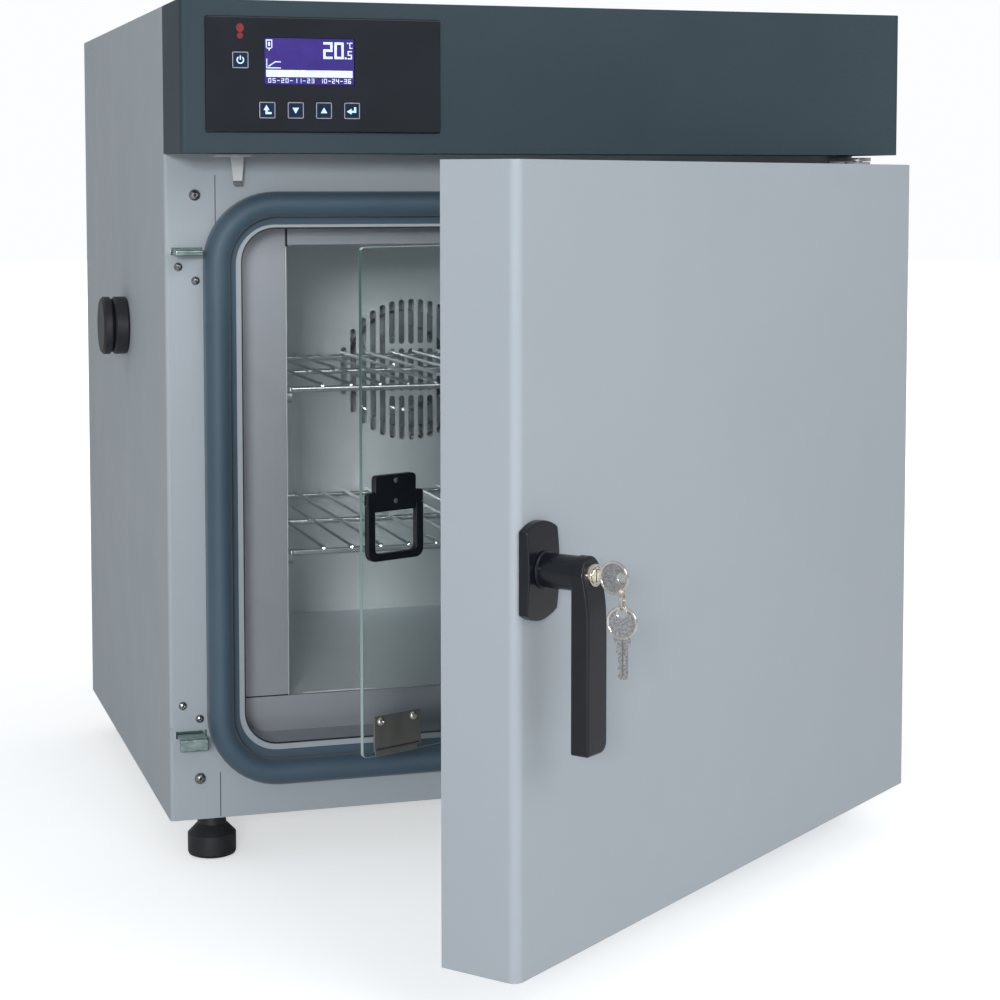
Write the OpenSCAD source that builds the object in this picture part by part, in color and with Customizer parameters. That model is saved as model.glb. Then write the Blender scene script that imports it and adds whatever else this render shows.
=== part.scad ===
// Bench incubator with a latched outer door and a glass inner door.
// X runs across the front, Y from front to back and Z up from the floor under the feet.
// Both doors are drawn open, as they stand at rest. Door pieces are written as if closed.

/* [Cabinet] */
// Width of the cabinet and of the outer door
cab_w = 590; // [576:2:640]
// Depth of the casing behind its front flange
cab_d = 490; // [480:2:560]
// Height of the casing without its feet
cab_h = 642; // [636:2:700]
// Height of the feet under the casing
foot_h = 37; // [34:1:50]
// Y of the front flange, set so that the open part is centred on the origin
front_y = -15; // [-30:1:0]
// Thickness of the casing sheet
sheet = 1.2; // [0.8:0.1:1.5]
// Width of the flange folded round the front of each side panel
flange_w = 38; // [34:1:42]
// Depth of the flange folded round the back of each side panel
rear_flange = 16; // [12:1:24]
// Outer radius of the folded vertical edges
fold_r = 3; // [2:0.5:4]
// Diameter of the casing screws
screw_d = 3.6; // [3:0.2:4]

/* [Header] */
// Height of the control header
header_h = 113.6; // [100:1:125]
// Depth of the header in front of the flange
header_d = 82; // [78:1:100]
// Wall of the moulded header housing
header_wall = 2.5; // [2:0.5:4]
// Radius of the header's vertical front edges
header_r = 4; // [3:0.5:8]
// Width of the glossy fascia
fascia_w = 181.4; // [170:1:190]
// Height of the glossy fascia
fascia_h = 86.5; // [80:1:92]
// Distance of the fascia from the header's left edge
fascia_x = 18.6; // [12:1:24]
// Distance of the fascia from the header's top edge
fascia_z = 12; // [10:1:16]
// Thickness of the fascia that stands out of the header
fascia_t = 2; // [1.5:0.5:3]
// Width of the display window
lcd_w = 69.2; // [60:1:74]
// Height of the display window
lcd_h = 35; // [30:1:40]
// Width of a key
key_w = 12.5; // [11:0.5:14]
// Distance from one key of the row to the next
key_pitch = 21.7; // [18:0.5:24]
// Travel of a key
key_travel = 0.8; // [0.5:0.1:1]
// Gap round a key in the fascia
key_gap = 0.3; // [0.2:0.1:0.4]

/* [Outer door] */
// Thickness of the outer door
door_t = 58.9; // [56:0.5:70]
// Gap between the casing's flange and the closed door
door_gap = 19.6; // [19:0.2:24]
// Gap between the header and the top of the door
door_top_gap = 7.6; // [7:0.2:10]
// Distance that the door reaches below the casing
door_drop = 1.3; // [0:0.1:2]
// Radius of the door's vertical front edges
door_r = 7; // [5:0.5:10]
// Distance of the hinge axis from the door's right edge
hinge_inset = 13.2; // [13:0.1:15]
// Distance of the hinge axis behind the door's inner face, measured outwards
hinge_depth = 15.4; // [14:0.1:18]
// Angle at which the outer door stands open
door_open = 38.36; // [20:0.5:60]
// Diameter of the hinge pins
hinge_pin_d = 8; // [6:0.5:9]
// Depth that a hinge pin reaches into its bush
hinge_pin_l = 14; // [10:1:18]

/* [Seal] */
// Width of the door gasket
seal_w = 24.2; // [20:0.2:25]
// Gap between the gasket and the closed door
seal_clear = 0.3; // [0.2:0.1:0.6]
// Distance of the gasket from the edge of the front opening
seal_inset = 8.2; // [6:0.2:9]
// Distance of the gasket from the top edge of the front opening
seal_inset_top = 4.7; // [3:0.1:6]
// Inner radius of the gasket's corners
seal_r = 36; // [30:1:40]

/* [Chamber] */
// Space behind the chamber for the fan motor and the insulation
rear_space = 48.8; // [48:0.2:60]
// Height from the front opening of the chamber up to the header
lintel_h = 72.9; // [70:0.1:90]
// Height of the chamber's bottom above the casing's bottom edge
floor_rise = 75; // [66:1:80]
// Height of the sill in front of the chamber's bottom
sill_h = 11; // [9:0.5:14]
// Depth of the recess from the flange to the chamber's front frame
recess_d = 40; // [36:1:44]
// Distance from the cabinet's side to the recess
side_margin = 60; // [59:0.5:66]
// Width of the frame's left rail seen in the recess
rail_left = 45; // [42:0.5:50]
// Width of the frame's right rail seen in the recess
rail_right = 23; // [21:0.5:28]
// Height of the frame's bottom rail seen in the recess
rail_bottom = 24; // [20:1:28]
// Height of the frame's top rail seen in the recess
rail_top = 15.5; // [14:0.5:18]
// Thickness of the stainless sheet
liner_t = 1; // [0.6:0.1:1.5]
// Height of the floor plate's top above the chamber's bottom
floor_plate_h = 8; // [6:0.5:9]

/* [Fan] */
// Distance from the chamber's back wall to the baffle
baffle_gap = 40; // [36:1:46]
// Height of the grille's centre as a share of the chamber's height
grille_share = 0.64652; // [0.58:0.01:0.68]
// Radius of the round grille
grille_r = 70.5; // [62:0.5:74]
// Distance from one column of slots to the next
slot_pitch = 9.7; // [9:0.1:11]
// Width of a slot in the grille
slot_w = 5.8; // [4:0.2:6.5]
// Radius of the fan impeller
impeller_r = 58; // [45:1:60]
// Number of impeller blades
blade_count = 24; // [12:1:30]
// Diameter of the motor shaft
shaft_d = 6; // [5:0.5:8]

/* [Shelves] */
// Distance from one shelf wire to the next
wire_pitch = 24; // [20:1:30]
// Diameter of a shelf wire
wire_d = 3; // [2.5:0.1:3.5]
// Diameter of the shelf's bars
bar_d = 5; // [4:0.2:6]
// Height of the lower shelf as a share of the chamber's height
lower_share = 0.34166; // [0.29:0.01:0.37]
// Height of the upper shelf as a share of the chamber's height
upper_share = 0.69645; // [0.6:0.01:0.73]
// Distance that a shelf slides before the closed glass door stops it
shelf_slide = 10; // [6:1:12]

/* [Glass door] */
// Thickness of the glass pane
glass_t = 4; // [3.6:0.1:4.4]
// Distance from the recess's back to the middle of the pane
glass_gap = 5; // [4.8:0.1:5.4]
// Overlap of the pane over the left side of the opening
glass_lap_left = 10; // [6:1:14]
// Overlap of the pane over the right side, up to its hinge axis
glass_lap_right = 6; // [5:0.5:8]
// Overlap of the pane over the bottom of the opening
glass_lap_bottom = 9; // [7:0.5:10]
// Overlap of the pane over the top of the opening
glass_lap_top = 3.5; // [2:0.5:4]
// Angle at which the glass door stands open
glass_open = 22.6; // [12:0.5:35]
// Diameter of the glass door's pivot pins
glass_pin_d = 4; // [3:0.2:5]

/* [Latch and handle] */
// Distance of the handle's axis from the door's left edge
handle_x = 19.5; // [18:0.5:22]
// Height of the handle's axis above the casing's bottom as a share of its height
handle_share = 0.40966; // [0.38:0.01:0.44]
// Number of teeth on the latch pinion
pinion_teeth = 12; // [12:1:13]
// Module of the pinion and the rack
gear_m = 1.25; // [1.1:0.05:1.3]
// Backlash between the pinion and the rack
backlash = 0.25; // [0.15:0.05:0.4]
// Thickness of the latch bar
latch_t = 5; // [4:0.5:6]
// Width of the latch bar
latch_w = 8; // [7:0.5:9]
// Distance that the keepers stand out of the flange
keeper_out = 35; // [33:0.5:38]
// Thickness of the keeper plates
keeper_t = 3; // [2:0.2:3.4]
// Depth of the keepers' turned-down noses
keeper_nose = 5; // [4:0.5:6]
// Width of the handle's grip
grip_w = 23; // [20:1:26]
// Thickness of the handle's grip
grip_t = 12.5; // [10:0.5:14]
// Gap between the door and the grip
grip_gap = 35; // [30:1:40]
// Length of the grip
grip_l = 120; // [100:1:140]
// Diameter of the key bows
bow_d = 20.7; // [18:0.1:24]
// Middle diameter of the key ring
ring_d = 18; // [16:1:24]

/* [Port and feet] */
// Radius of the port through the left wall
port_r = 19; // [16:0.5:21]
// Distance of the port's centre behind the flange as a share of the casing's depth
port_back_share = 0.44286; // [0.38:0.01:0.48]
// Height of the port's centre as a share of the chamber's height
port_share = 0.80683; // [0.74:0.01:0.84]
// Radius of the plug's discs
plug_r = 25; // [23.5:0.5:28]
// Distance that the plug stands out of the casing
plug_out = 22; // [18:1:26]
// Radius of a foot
foot_r = 19.5; // [16:0.5:22]
// Distance of the feet's centres from the casing's sides
foot_x = 38; // [34:1:44]
// Distance of the feet's centres from the casing's front and back
foot_y = 30; // [26:1:60]
// Diameter of the feet's studs
stud_d = 8; // [6:0.5:10]

/* [Clearances] */
// Radial clearance of the running fits
fit = 0.05; // [0.02:0.01:0.08]
// Gap between pieces that don't touch, and between a moving piece and its seat
gap = 0.3; // [0.2:0.05:0.5]

/* [Hidden] */
$fn = 48;

eps = 0.01;
// Planes of the cabinet
side_x = cab_w / 2;
back_y = front_y + cab_d;
base_z = foot_h;
top_z = foot_h + cab_h;
header_z = top_z - header_h;
header_y = front_y - header_d;
fascia_y = header_y - fascia_t;
deck_z = header_z - 20;

// Planes of the outer door when it is closed
door_top = header_z - door_top_gap;
door_bottom = base_z - door_drop;
door_in = front_y - door_gap;
door_out = door_in - door_t;
hinge_x = side_x - hinge_inset;
hinge_y = door_in - hinge_depth;
door_sheet = sheet;
panel_t = 1.5;
bush_flange = 2.4;

// Chamber, its front frame and the opening in front of it
step_w = cab_w - 2 * side_margin;
left_x = -step_w / 2 + rail_left;
right_x = step_w / 2 - rail_right;
chamber_w = right_x - left_x;
chamber_x = (left_x + right_x) / 2;
liner_z = base_z + floor_rise;
open_z0 = liner_z + sill_h;
open_z1 = header_z - lintel_h;
opening_h = open_z1 - open_z0;
chamber_h = open_z1 - liner_z;
step_z0 = open_z0 - rail_bottom;
step_z1 = open_z1 + rail_top;
frame_y = front_y + recess_d;
frame_t = 1.2;
liner_y = frame_y + frame_t;
liner_back = back_y - rear_space;
chamber_d = liner_back - liner_y;
floor_top = liner_z + floor_plate_h;
baffle_y = liner_back - baffle_gap;
fan_z = liner_z + chamber_h * grille_share;
shelf_z1 = chamber_h * lower_share;
shelf_z2 = chamber_h * upper_share;
port_y = cab_d * port_back_share;
port_z = liner_z + chamber_h * port_share;
step_r = seal_r - seal_inset;
seal_h = door_gap - seal_clear;

// Glass door when it is closed
pane_y = frame_y - glass_gap;
pane_x0 = left_x - glass_lap_left;
pane_x1 = right_x + glass_lap_right;
pane_z0 = open_z0 - glass_lap_bottom;
pane_z1 = open_z1 + glass_lap_top;
glass_face = pane_y - glass_t / 2;
clip_w = 22;
clip_over = 3.5;
clip_h = 14;
clip_r = glass_gap - gap - 0.2;
pull_x = pane_x0 + 33;
pull_z = liner_z + chamber_h * 0.49146;
pull_axis_y = glass_face - 4.5;

// Latch and handle
lock_x = -side_x + handle_x;
handle_z = base_z + cab_h * handle_share;
pinion_r = gear_m * pinion_teeth / 2;
press_angle = 25;
latch_y = door_in - 6.4 - latch_t;
rack_x = lock_x - pinion_r;
latch_travel = pinion_r * PI / 2;
rack_pitches = ceil((latch_travel + pinion_r + 2 * gear_m) / (PI * gear_m));
latch_x0 = lock_x + pinion_r + 4;
keeper_inset = 4;
keeper_w = side_margin - seal_inset - seal_w - keeper_inset - gap;
keeper_x = -side_x + keeper_inset + keeper_w / 2;
keeper_z2 = header_z - 78;
keeper_z1 = base_z + 67;
hook_h = 7.6;
rosette_t = 8;
grip_back = door_out - grip_gap;
grip_front = grip_back - grip_t;
plug_lock_r = 6;
cylinder_r = 9;
bow_y = grip_front - 11.5;
key_hole_y = bow_y - 6;
key_hole_r = 2.8;
wire_r = 0.8;
bow_r = bow_d / 2;
key_t = 2.2;
ring_top_z = handle_z - key_hole_r + wire_r + 0.12;
ring_z = ring_top_z - ring_d / 2;
spare_hole_z = ring_top_z - ring_d + wire_r + 0.12 - key_hole_r;

// Controls behind the fascia
fascia_x0 = -side_x + fascia_x;
fascia_z1 = top_z - fascia_z;
row_x = fascia_x0 + 46.3;
row_z = fascia_z1 - 69.8;
power_x = fascia_x0 + 26.2;
power_z = fascia_z1 - 32.8;
lcd_x = fascia_x0 + 79.1;
lcd_z = fascia_z1 - 33.2;
led_z = power_z + 21.3;
key_floor = header_y + header_wall + 2;
board_y = key_floor + 6.5;
board_t = 1.6;
key_places = [for (i = [0:3]) [row_x + i * key_pitch, row_z]];
vent_x = -side_x + 51.5;
vent_y = front_y - 10;

// Mains inlet, header posts and fan
inlet_w = 27;
inlet_h = 20;
inlet_x = side_x - 95;
inlet_z = top_z - 60;
header_posts = [for (x = [fascia_x0 + 3, fascia_x0 + fascia_w - 3])
    for (z = [fascia_z1 - 5, fascia_z1 - fascia_h + 5]) [x, z]];
motor_r = 34;
heater_r = 74;
heater_leg = 14;
heater_drop = sqrt(heater_r * heater_r - heater_leg * heater_leg);
probe_r = 3;
probe_x = chamber_x + heater_r + 46;
supply_w = 100;
supply_d = 60;
supply_h = 36;
supply_x = side_x - 90 - supply_w;
supply_y = back_y - 70 - supply_d;
tube_wall = 2;
tube_flange_r = port_r + tube_wall + 6;

// Shelves and their supports
shelf_front = liner_y + 14;
shelf_rear = baffle_y - 16;
support_r = 5;
support_places = [for (x = [left_x, right_x], y = [shelf_front + 22, shelf_rear - 60])
    for (z = [shelf_z1, shelf_z2]) [x, y, bar_z(z) - bar_d / 2 - support_r - 0.1]];
function bar_z(z) = liner_z + z - wire_d / 2 - bar_d / 2 + 0.6;

// Fixings
bush_r = hinge_pin_d / 2 + 2.5;
spindle_r = 5;
rosette_screws = [for (s = [-1, 1]) [lock_x, handle_z + s * 24]];
rosette_screw_r = 1.6;
catch_z = pane_z0 - 4;
magnet_x = pull_x - 2;
magnet_z = step_z0 + 7;
foot_places = [for (sx = [-1, 1], fy = [front_y + foot_y, back_y - foot_y]) [sx * (side_x - foot_x), fy]];
front_screws = [for (z = [header_z - 32, base_z + 33]) [-side_x + 24, z, 4.6]];
keeper_screw_x = keeper_w / 2 - 3.3;
keeper_screws = [[-side_x + 10.5, keeper_z2 - 10], [keeper_x + keeper_screw_x, keeper_z2 - 21],
    [-side_x + 10.5, keeper_z1 + 25.5], [keeper_x + keeper_screw_x, keeper_z1 + 14.3]];
rear_screws = [for (sx = [-1, 1], k = [0:3])
    [sx * (side_x - sheet - rear_flange / 2), base_z + 20 + k * (cab_h - 40) / 3]];

// Rectangle with round corners, centred
module round_rect(w, h, r) {
    square([w - 2 * r, h], center = true);
    square([w, h - 2 * r], center = true);
    for (sx = [-1, 1], sy = [-1, 1]) {
        translate([sx * (w / 2 - r), sy * (h / 2 - r)]) circle(r);
    }
}

// Upright slot with round ends, between two heights
module slot_shape(w, h0, h1) {
    translate([-w / 2, h0 + w / 2]) square([w, h1 - h0 - w]);
    for (h = [h0 + w / 2, h1 - w / 2]) translate([0, h]) circle(w / 2, $fn = 24);
}

// Outline in X and Z, extruded backwards from y
module plate_y(y, t) {
    translate([0, y + t, 0]) rotate([90, 0, 0]) linear_extrude(t) children();
}

// Outline in Y and Z, extruded to the right from x
module plate_x(x, t) {
    translate([x, 0, 0]) rotate([90, 0, 90]) linear_extrude(t) children();
}

// Rod along X, Y and Z, each from its start
module rod_x(p, r, l) {
    translate(p) rotate([0, 90, 0]) cylinder(r = r, h = l);
}
module rod_y(p, r, l) {
    translate(p) rotate([-90, 0, 0]) cylinder(r = r, h = l);
}
module rod_z(p, r, l) {
    translate(p) cylinder(r = r, h = l);
}

// Screw with a domed head, its head towards -Y and its seat at the origin
module dome_screw(head_r, shank_r, l) {
    rotate([90, 0, 0]) rotate_extrude() {
        intersection() {
            scale([1, 0.62]) circle(head_r);
            square([head_r, head_r]);
        }
        translate([0, -l]) square([shank_r, l]);
    }
}

// The doors and the pieces on them, turned from closed to their places at rest
module on_door() {
    translate([hinge_x, hinge_y, 0]) rotate([0, 0, door_open]) {
        translate([-hinge_x, -hinge_y, 0]) children();
    }
}
module on_glass() {
    translate([pane_x1, pane_y, 0]) rotate([0, 0, glass_open]) {
        translate([-pane_x1, -pane_y, 0]) children();
    }
}

// Side panel with a folded front flange and a rear flange, drawn for the left side
module side_outline() {
    x0 = -side_x;
    difference() {
        translate([x0, front_y]) square([flange_w, cab_d]);
        translate([x0 + sheet, front_y + sheet]) square([flange_w, cab_d - 2 * sheet - rear_flange]);
        translate([x0 + sheet, back_y - sheet - rear_flange - eps]) {
            square([flange_w, rear_flange - sheet + eps]);
        }
        translate([x0 + sheet, back_y - sheet]) square([flange_w, 2 * sheet]);
        translate([x0 + sheet + rear_flange, back_y - 2 * sheet - eps]) square([flange_w, 2 * sheet]);
        fold_corner(x0, front_y, 1, 1);
    }
}

// Waste outside a round fold at an outer corner
module fold_corner(x, y, sx, sy) {
    difference() {
        translate([min(x, x + sx * fold_r), min(y, y + sy * fold_r)]) square(fold_r);
        translate([x + sx * fold_r, y + sy * fold_r]) circle(fold_r);
    }
}

// Rods along Y at a row of places, for screw holes and screws
module screw_holes(places, y, l, r) {
    for (p = places) rod_y([p[0], y, p[1]], r, l);
}

module casing_left() {
    color("lightslategray") difference() {
        translate([0, 0, base_z]) linear_extrude(cab_h) side_outline();
        for (z = [keeper_z2, keeper_z1]) {
            translate([keeper_x - keeper_w / 2 - 2, front_y - 1, z - 0.7]) cube([keeper_w + 4, 4, 6.5]);
        }
        screw_holes(front_screws, front_y - 1, 4, screw_d / 2 + fit);
        screw_holes(keeper_screws, front_y - 1, 4, screw_d / 2 + fit);
        screw_holes(rear_screws, back_y - 4, 5, screw_d / 2 + fit);
        rod_x([-side_x - 1, front_y + port_y, port_z], port_r + tube_wall + gap, 4);
        plate_x(-side_x - 1, 3) for (k = [0:6]) {
            translate([back_y - 74 + k * 9, 0]) slot_shape(4, top_z - 52, top_z - 8);
        }
    }
}

module casing_right() {
    color("lightslategray") difference() {
        translate([0, 0, base_z]) linear_extrude(cab_h) mirror([1, 0]) side_outline();
        for (p = front_screws) rod_y([-p[0], front_y - 1, p[1]], screw_d / 2 + fit, 4);
        screw_holes(rear_screws, back_y - 4, 5, screw_d / 2 + fit);
        plate_x(side_x - 2, 3) for (k = [0:6]) {
            translate([back_y - 74 + k * 9, 0]) slot_shape(4, top_z - 52, top_z - 8);
        }
    }
}

// Shallow pan that closes the casing at the top, with its edges folded down
module top_cover() {
    w = cab_w - 2 * sheet;
    d = cab_d - 3 * sheet;
    color("lightslategray") difference() {
        translate([-w / 2, front_y + sheet, top_z - 16]) cube([w, d, 16]);
        translate([-w / 2 + sheet, front_y + 2 * sheet, top_z - 16 - sheet]) {
            cube([w - 2 * sheet, d - 2 * sheet, 16]);
        }
        for (sx = [-1, 1]) {
            translate([sx * (w / 2 - 25) - 26, back_y - 20, top_z - 17]) cube([52, 21, 16 - sheet + 1]);
            translate([sx * w / 2 - 13, front_y, top_z - 60]) cube([26, cab_d - 5, 60 - sheet]);
        }
    }
}

// Bottom pan with pressed-in nuts for the feet
module base_panel() {
    w = cab_w - 2 * sheet;
    color("gray") difference() {
        union() {
            translate([-w / 2, front_y + sheet, base_z]) cube([w, cab_d - 4 * sheet, sheet]);
            translate([-w / 2 + flange_w, front_y + 2 * sheet, base_z]) cube([w - 2 * flange_w, sheet, 14]);
            for (p = foot_places) rod_z([p[0], p[1], base_z], stud_d * 0.9, 9);
        }
        for (p = foot_places) rod_z([p[0], p[1], base_z - 1], stud_d / 2 + fit, 12);
    }
}

// Rear cover with louvre slots for the electronics and a cut-out for the inlet
module rear_cover() {
    w = cab_w - 2 * sheet;
    color("lightslategray") difference() {
        translate([-w / 2, back_y - sheet, base_z]) cube([w, sheet, cab_h - sheet]);
        screw_holes(rear_screws, back_y - 4, 5, screw_d / 2 + fit);
        translate([inlet_x - inlet_w / 2 - gap, back_y - 3, inlet_z - inlet_h / 2 - gap]) {
            cube([inlet_w + 2 * gap, 4, inlet_h + 2 * gap]);
        }
        plate_y(back_y - 3, 4) for (i = [0:15], row = [0, 1]) {
            z0 = top_z - 100 + row * 38;
            translate([-side_x + 70 + i * 14, 0]) slot_shape(5, z0, z0 + 30);
        }
    }
}

// Outline of the recess in front of the chamber
module step_shape(grow) {
    translate([0, (step_z0 + step_z1) / 2]) {
        round_rect(step_w + 2 * grow, step_z1 - step_z0 + 2 * grow, step_r + grow);
    }
}

// Frame between the side flanges, folded back round the recess
module front_frame() {
    x0 = -side_x + flange_w;
    color("lightslategray") difference() {
        union() {
            plate_y(front_y, sheet) translate([x0, base_z]) square([-2 * x0, top_z - base_z]);
            plate_y(front_y, recess_d) step_shape(sheet);
        }
        plate_y(front_y - 1, recess_d + 2) step_shape(0);
        translate([-side_x + 60, front_y - 1, header_z + 20]) cube([cab_w - 120, 4, header_h - 40]);
    }
}

// Outline of the header seen from above
module header_outline(inset) {
    r = header_r - min(inset, header_r - 0.5);
    w = side_x - inset;
    y0 = header_y + inset;
    translate([-w, y0 + r]) square([2 * w, front_y - y0 - r]);
    translate([-w + r, y0]) square([2 * w - 2 * r, r + eps]);
    for (sx = [-1, 1]) translate([sx * (w - r), y0 + r]) circle(r);
}

module header_shell() {
    color([0.21, 0.28, 0.31]) difference() {
        translate([0, 0, header_z]) linear_extrude(header_h) header_outline(0);
        difference() {
            translate([0, 0, header_z + header_wall]) {
                linear_extrude(header_h - 2 * header_wall) header_outline(header_wall);
            }
            for (p = header_posts) rod_y([p[0], header_y, p[1]], 4.5, board_y - header_y);
        }
        translate([-side_x + header_wall, front_y - 10, header_z + header_wall]) {
            cube([cab_w - 2 * header_wall, 11, header_h - 2 * header_wall]);
        }
        for (p = header_posts) rod_y([p[0], header_y + header_wall + 1, p[1]], 1.5, board_y - header_y);
        translate([fascia_x0 + 6, header_y - 1, fascia_z1 - fascia_h + 6]) {
            cube([fascia_w - 12, header_wall + 2, fascia_h - 12]);
        }
        translate([vent_x - 11, vent_y - 3 - gap, header_z - 1]) cube([22, 6 + 2 * gap, header_wall + 2]);
    }
}

// Outline of each key in the fascia
module key_shapes(grow) {
    for (p = concat(key_places, [[power_x, power_z]])) {
        translate(p) round_rect(key_w + 2 * grow, key_w + 2 * grow, 1);
    }
}

// Glossy moulding with bevelled edges, a window and holes for the keys
module fascia_panel() {
    bevel = 1.2;
    color([0.13, 0.15, 0.18]) difference() {
        union() {
            hull() {
                translate([fascia_x0 + bevel, fascia_y, fascia_z1 - fascia_h + bevel]) {
                    cube([fascia_w - 2 * bevel, 1, fascia_h - 2 * bevel]);
                }
                translate([fascia_x0, fascia_y + bevel, fascia_z1 - fascia_h]) {
                    cube([fascia_w, fascia_t - bevel, fascia_h]);
                }
            }
            translate([fascia_x0 + 6 + gap, header_y - eps, fascia_z1 - fascia_h + 6 + gap]) {
                cube([fascia_w - 12 - 2 * gap, key_floor - header_y, fascia_h - 12 - 2 * gap]);
            }
        }
        plate_y(fascia_y - 1, key_floor - fascia_y + 2) {
            key_shapes(key_gap);
            translate([lcd_x, lcd_z]) round_rect(lcd_w, lcd_h, 1);
        }
        rod_y([power_x, fascia_y - 1, led_z], 2.6, key_floor - fascia_y + 2);
    }
}

// Display module behind the window, standing on the board
module display_lcd() {
    color([0.24, 0.2, 0.5]) {
        plate_y(fascia_y + 0.8, key_floor - fascia_y - 0.8) {
            translate([lcd_x, lcd_z]) round_rect(lcd_w - 2 * gap, lcd_h - 2 * gap, 1);
        }
        translate([lcd_x - lcd_w / 2 - 4, key_floor, lcd_z - lcd_h / 2 - 3]) {
            cube([lcd_w + 8, board_y - key_floor, lcd_h + 6]);
        }
    }
}

// Circuit board with a switch behind each key and the indicator
module control_board() {
    x0 = fascia_x0 + 1;
    z0 = fascia_z1 - fascia_h + 1;
    color("darkgreen") {
        difference() {
            translate([x0 - 4, board_y, z0 - 2]) cube([fascia_w + 6, board_t, fascia_h + 2]);
            for (p = header_posts) rod_y([p[0], board_y - 1, p[1]], 1.6, board_t + 2);
        }
        for (p = concat(key_places, [[power_x, power_z]])) {
            translate([p[0] - 3, board_y - 2.4, p[1] - 3]) cube([6, 2.4, 6]);
        }
        rod_y([power_x, fascia_y + 0.6, led_z], 2.5, board_y - fascia_y - 0.6);
        translate([x0 + 110, board_y + board_t, z0 + 20]) cube([24, 8, 16]);
    }
}

// Key with a guide flange behind the fascia and a stem to its switch
module key_cap(p) {
    color([0.16, 0.2, 0.33]) {
        plate_y(fascia_y - 0.6, key_floor + gap - fascia_y + 0.6) translate(p) round_rect(key_w, key_w, 1);
        plate_y(key_floor + gap, 1) translate(p) round_rect(key_w + 3, key_w + 3, 1);
        stem = board_y - 2.4 - key_travel - 0.2;
        rod_y([p[0], key_floor + gap + 1, p[1]], 2, stem - key_floor - gap - 1);
    }
}
module key_power() {
    key_cap([power_x, power_z]);
}
module key_back() {
    key_cap(key_places[0]);
}
module key_down() {
    key_cap(key_places[1]);
}
module key_up() {
    key_cap(key_places[2]);
}
module key_enter() {
    key_cap(key_places[3]);
}

// Enclosed supply standing on the insulation's deck behind the header
module power_supply() {
    color("silver") difference() {
        translate([supply_x, supply_y, deck_z]) cube([supply_w, supply_d, supply_h]);
        for (k = [0:7]) {
            translate([supply_x + supply_w * (0.08 + k * 0.11), supply_y - 1, deck_z + supply_h / 6]) {
                cube([supply_w / 20, 3, supply_h * 2 / 3]);
            }
        }
    }
    color("green") translate([supply_x + 4, supply_y + 4, deck_z + supply_h]) {
        cube([supply_w - 8, 14, supply_h / 3]);
    }
}

// Mains inlet: flange outside the rear cover, body through it, socket with three pins
module mains_inlet() {
    depth = 24;
    color([0.1, 0.1, 0.1]) difference() {
        union() {
            plate_y(back_y, 2.5) translate([inlet_x, inlet_z]) round_rect(inlet_w + 21, inlet_h + 6, 4);
            translate([inlet_x - inlet_w / 2, back_y - depth, inlet_z - inlet_h / 2]) {
                cube([inlet_w, depth + 1, inlet_h]);
            }
        }
        translate([inlet_x - 12, back_y - depth + 4, inlet_z - 8]) cube([24, depth, 16]);
        for (sx = [-1, 1]) rod_y([inlet_x + sx * 19, back_y - 1, inlet_z], 1.7, 5);
    }
    color("silver") for (p = [[-7, -3], [0, 3], [7, -3]]) {
        translate([inlet_x + p[0] - 1, back_y - depth + 3.9, inlet_z + p[1] - 2]) cube([2, 16, 4]);
    }
}

module casing_screws() {
    color("silver") {
        for (p = front_screws) {
            translate([p[0], front_y, p[1]]) dome_screw(p[2], screw_d / 2, 8);
            translate([-p[0], front_y, p[1]]) dome_screw(p[2], screw_d / 2, 8);
        }
        for (p = keeper_screws) translate([p[0], front_y, p[1]]) dome_screw(3.4, screw_d / 2, 7);
        for (p = rear_screws) {
            translate([p[0], back_y, p[1]]) mirror([0, 1, 0]) dome_screw(3.6, screw_d / 2, 7);
        }
    }
}

// D-shaped hollow rubber profile, its foot on the X axis and its crown at seal_h
module seal_profile() {
    r = seal_w / 2;
    wall = 2.5;
    difference() {
        union() {
            translate([-r, 0]) square([seal_w, seal_h - r]);
            translate([0, seal_h - r]) intersection() {
                circle(r);
                translate([-r, -eps]) square([seal_w, r + 1]);
            }
        }
        translate([-r + wall, wall]) square([seal_w - 2 * wall, seal_h - r - wall]);
        translate([0, seal_h - r]) intersection() {
            circle(r - wall);
            translate([-r, -eps]) square([seal_w, r]);
        }
    }
}

// Gasket ring: four straight lengths and four round corners
module door_gasket() {
    x = step_w / 2 + seal_inset + seal_w / 2;
    z0 = step_z0 - seal_inset - seal_w / 2;
    z1 = step_z1 + seal_inset_top + seal_w / 2;
    r = seal_r + seal_w / 2;
    color([0.26, 0.35, 0.42]) {
        for (sx = [-1, 1]) {
            translate([sx * x, front_y, z0 + r]) linear_extrude(z1 - z0 - 2 * r) {
                mirror([0, 1]) seal_profile();
            }
        }
        for (z = [z0, z1]) {
            translate([-x + r, front_y, z]) rotate([0, 90, 0]) linear_extrude(2 * (x - r)) {
                mirror([0, 1]) seal_profile();
            }
        }
        for (c = [[1, 1, 0], [-1, 1, 90], [-1, -1, 180], [1, -1, 270]]) {
            translate([c[0] * (x - r), front_y, c[1] > 0 ? z1 - r : z0 + r]) rotate([90, -c[2], 0]) {
                mirror([0, 1, 0]) rotate_extrude(angle = -90) translate([r, 0]) seal_profile();
            }
        }
    }
}

// Outline of the chamber's opening
module opening_shape() {
    translate([left_x, open_z0]) square([chamber_w, opening_h]);
}

// Flat stainless frame at the back of the recess
module chamber_frame() {
    color("lightgray") difference() {
        plate_y(frame_y, frame_t) step_shape(0);
        plate_y(frame_y - 1, frame_t + 2) opening_shape();
        for (x = [magnet_x - 12, magnet_x + 12]) rod_y([x, frame_y - 1, magnet_z], 1.6, 4);
    }
}

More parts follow.
